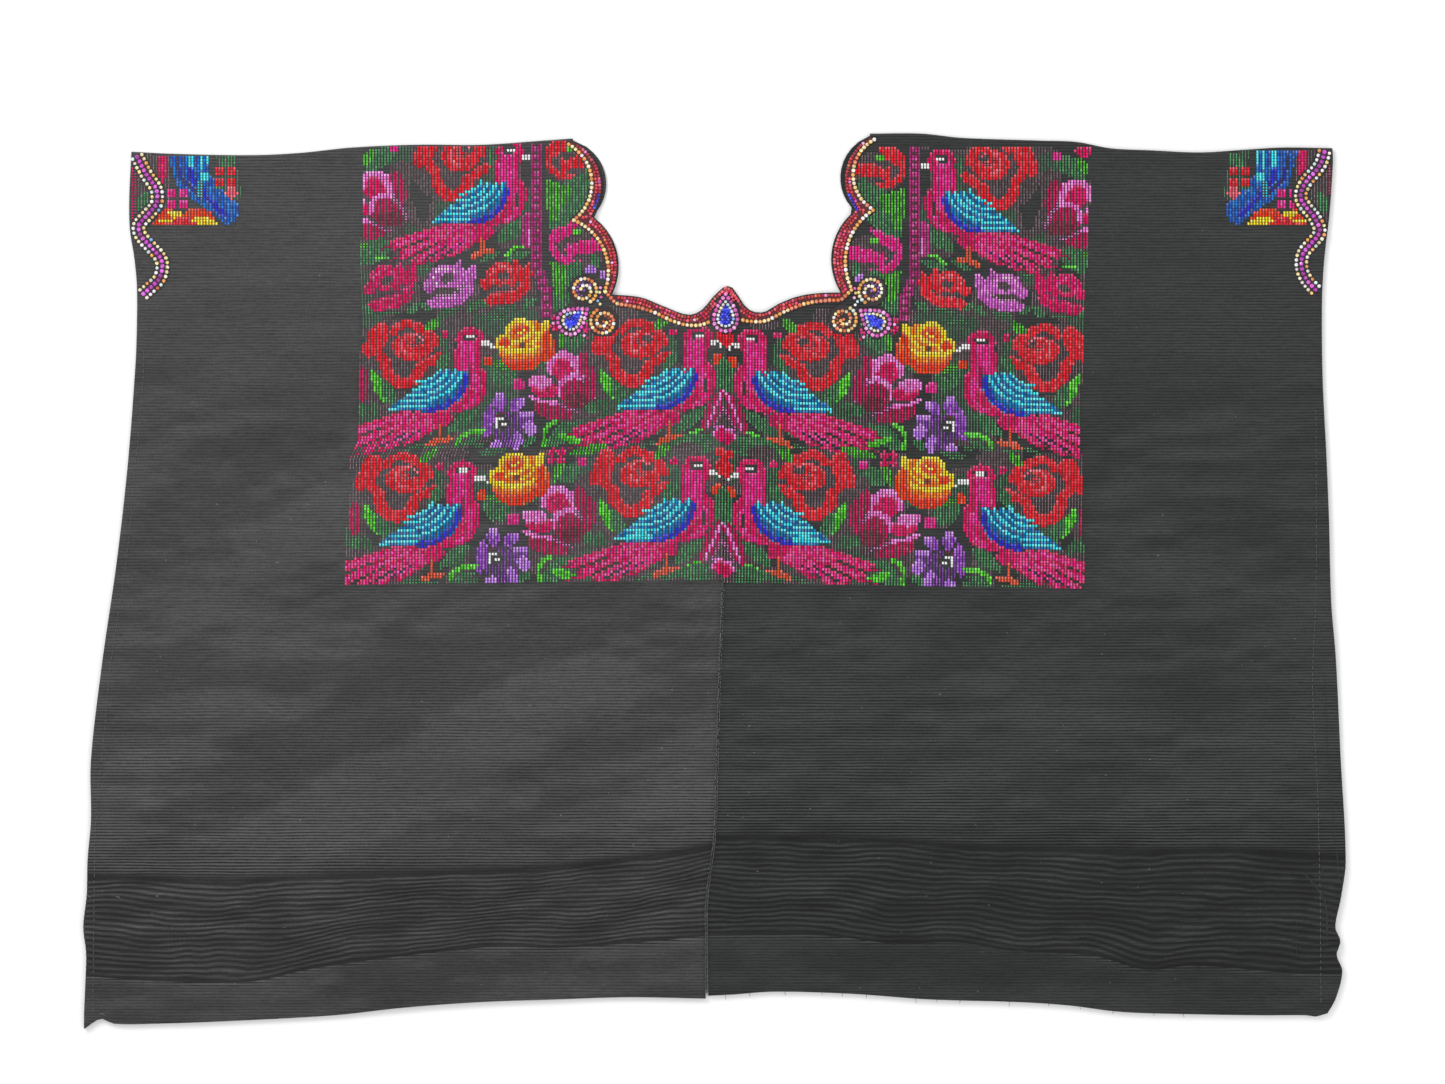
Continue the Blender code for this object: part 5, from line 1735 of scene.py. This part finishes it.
def thread_material():
    """Mercerised embroidery cotton, coloured stitch by stitch with painted shade and highlights, with fibres
    along the float.
    """
    s = Shader("brocade_cotton", 0.6, Sheen_Weight=0.04, Sheen_Roughness=0.4, Specular_IOR_Level=0.15)
    fibre = s.noise((5200, 420, 900), 2.0)
    wear = s.noise((240, 160, 200), 2.0)
    light = s.math("ADD", s.ramp(fibre, 0.3, 0.7, 0.78, 1.2), s.ramp(wear, 0.3, 0.7, -0.08, 0.08))
    s.colour(s.times(s.attribute("thread"), light))
    s.bump(fibre, 0.12 * MM, 0.6)
    return s.material


def stone_material():
    """Foil-backed faceted glass."""
    coat = {"Coat_Weight": 1.0, "Coat_Roughness": 0.04}
    s = Shader("faceted_stones", 0.16, Metallic=0.35, **coat, Specular_IOR_Level=0.6)
    cloud = s.noise((900, 900, 900), 1.0)
    s.colour(s.times(s.attribute("glint"), s.ramp(cloud, 0.3, 0.7, 0.8, 1.25)))
    return s.material


def backing_material(name, colour):
    """Dense satin stitching under the stones."""
    s = Shader(name, 0.75, Sheen_Weight=0.2, Sheen_Roughness=0.5)
    grain = s.noise((1900, 700, 700), 2.0)
    s.colour(s.times(tuple(linear(colour)), s.ramp(grain, 0.3, 0.7, 0.45, 1.5)))
    s.bump(grain, 0.25 * MM, 0.8)
    return s.material


def yarn_material(name, colour):
    """Twisted sewing thread."""
    s = Shader(name, 0.8, Sheen_Weight=0.2, Sheen_Roughness=0.5)
    twist = s.noise((2600, 2600, 2600), 2.0)
    s.colour(s.times(tuple(linear(colour)), s.ramp(twist, 0.3, 0.7, 0.7, 1.25)))
    s.bump(twist, 0.1 * MM, 0.7)
    return s.material


def floor_material():
    s = Shader("pale_floor", 0.95, Specular_IOR_Level=0.1)
    cloud = s.noise((3, 3, 3), 2.0)
    s.colour(s.times((0.9, 0.9, 0.9), s.ramp(cloud, 0.3, 0.7, 0.985, 1.0)))
    return s.material


FLOOR_HALF = 6.0
FLOOR_DROP = 0.4 * MM


def make_floor():
    corners = [(sx * FLOOR_HALF, sy * FLOOR_HALF, -FLOOR_DROP) for sx, sy in CORNERS]
    make_object("floor", corners, [[0, 1, 2, 3]], floor_material(), smooth=False)


def make_light():
    world = bpy.data.worlds.new("soft_studio")
    world.use_nodes = True
    world.node_tree.nodes["Background"].inputs["Color"].default_value = (1, 1, 1, 1)
    world.node_tree.nodes["Background"].inputs["Strength"].default_value = 0.85
    bpy.context.scene.world = world
    bpy.context.scene.view_settings.view_transform = "Standard"
    for name, place, size, power in (
        ("key_light", (-1.6, 1.9, 1.7), 1.1, 46),
        ("fill_light", (1.8, -1.2, 2.2), 2.0, 16),
    ):
        light = bpy.data.lights.new(name, "AREA")
        light.size = size
        light.energy = power
        lamp = bpy.data.objects.new(name, light)
        lamp.location = place
        away = np.array(place)
        lamp.rotation_euler = (
            math.atan2(math.hypot(away[0], away[1]), away[2]), 0, math.atan2(away[1], away[0]) + math.pi / 2,
        )
        bpy.context.collection.objects.link(lamp)


def make_camera():
    """Straight above the frame's middle, at the height from which the photograph's width fits."""
    camera = bpy.data.cameras.new("camera")
    camera.lens = LENS
    camera.sensor_width = SENSOR
    made = bpy.data.objects.new("camera", camera)
    x, y = from_photo(*FRAME_MIDDLE_PX)
    made.location = (x, y, FRONT_TOP + FRAME_PX[0] * PIXEL * LENS / SENSOR)
    bpy.context.collection.objects.link(made)
    bpy.context.scene.camera = made


def main():
    make_camera()
    make_light()
    make_floor()
    materials = {
        "stones": stone_material(),
        "red_backing": backing_material("red_backing", "#4A1018"),
        "dark_backing": backing_material("dark_backing", "#241A1E"),
    }
    cloth, thread = cloth_material(), thread_material()
    side_yarn = yarn_material("side_yarn", "#505050")
    # Near-black thread for the centre seam, also used as painted shade of the small folds
    seam_yarn_and_fold_shade = yarn_material("seam_yarn_and_fold_shade", "#161618")
    pale_yarn = yarn_material("pale_yarn", "#747472")
    halves = [Half("left", LEFT, 100), Half("right", RIGHT, 200)]
    chart, patch = garment_chart(), patch_chart()
    for half in halves:
        panel = make_cloth(half, cloth)
        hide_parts(f"panel_{half.name}")
        brocade = make_brocade(half, chart, patch, thread)
        stitches = make_stitches(half, side_yarn)
        trims = make_neck_trim(half, materials) + make_arm_trim(half, materials)
        for piece in [panel, brocade, stitches] + trims:
            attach(piece, "root")
    for piece in (
        make_centre_seam(halves, seam_yarn_and_fold_shade),
        make_loose_threads(halves, pale_yarn),
        make_puckers(halves, seam_yarn_and_fold_shade),
    ):
        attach(piece, "root")
    for name, row in DROPS.items():
        for piece in make_drop(name, row, materials):
            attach(piece, "root")
    for name, row in SCROLLS.items():
        for piece in make_scroll(name, row, materials):
            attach(piece, "root")


main()
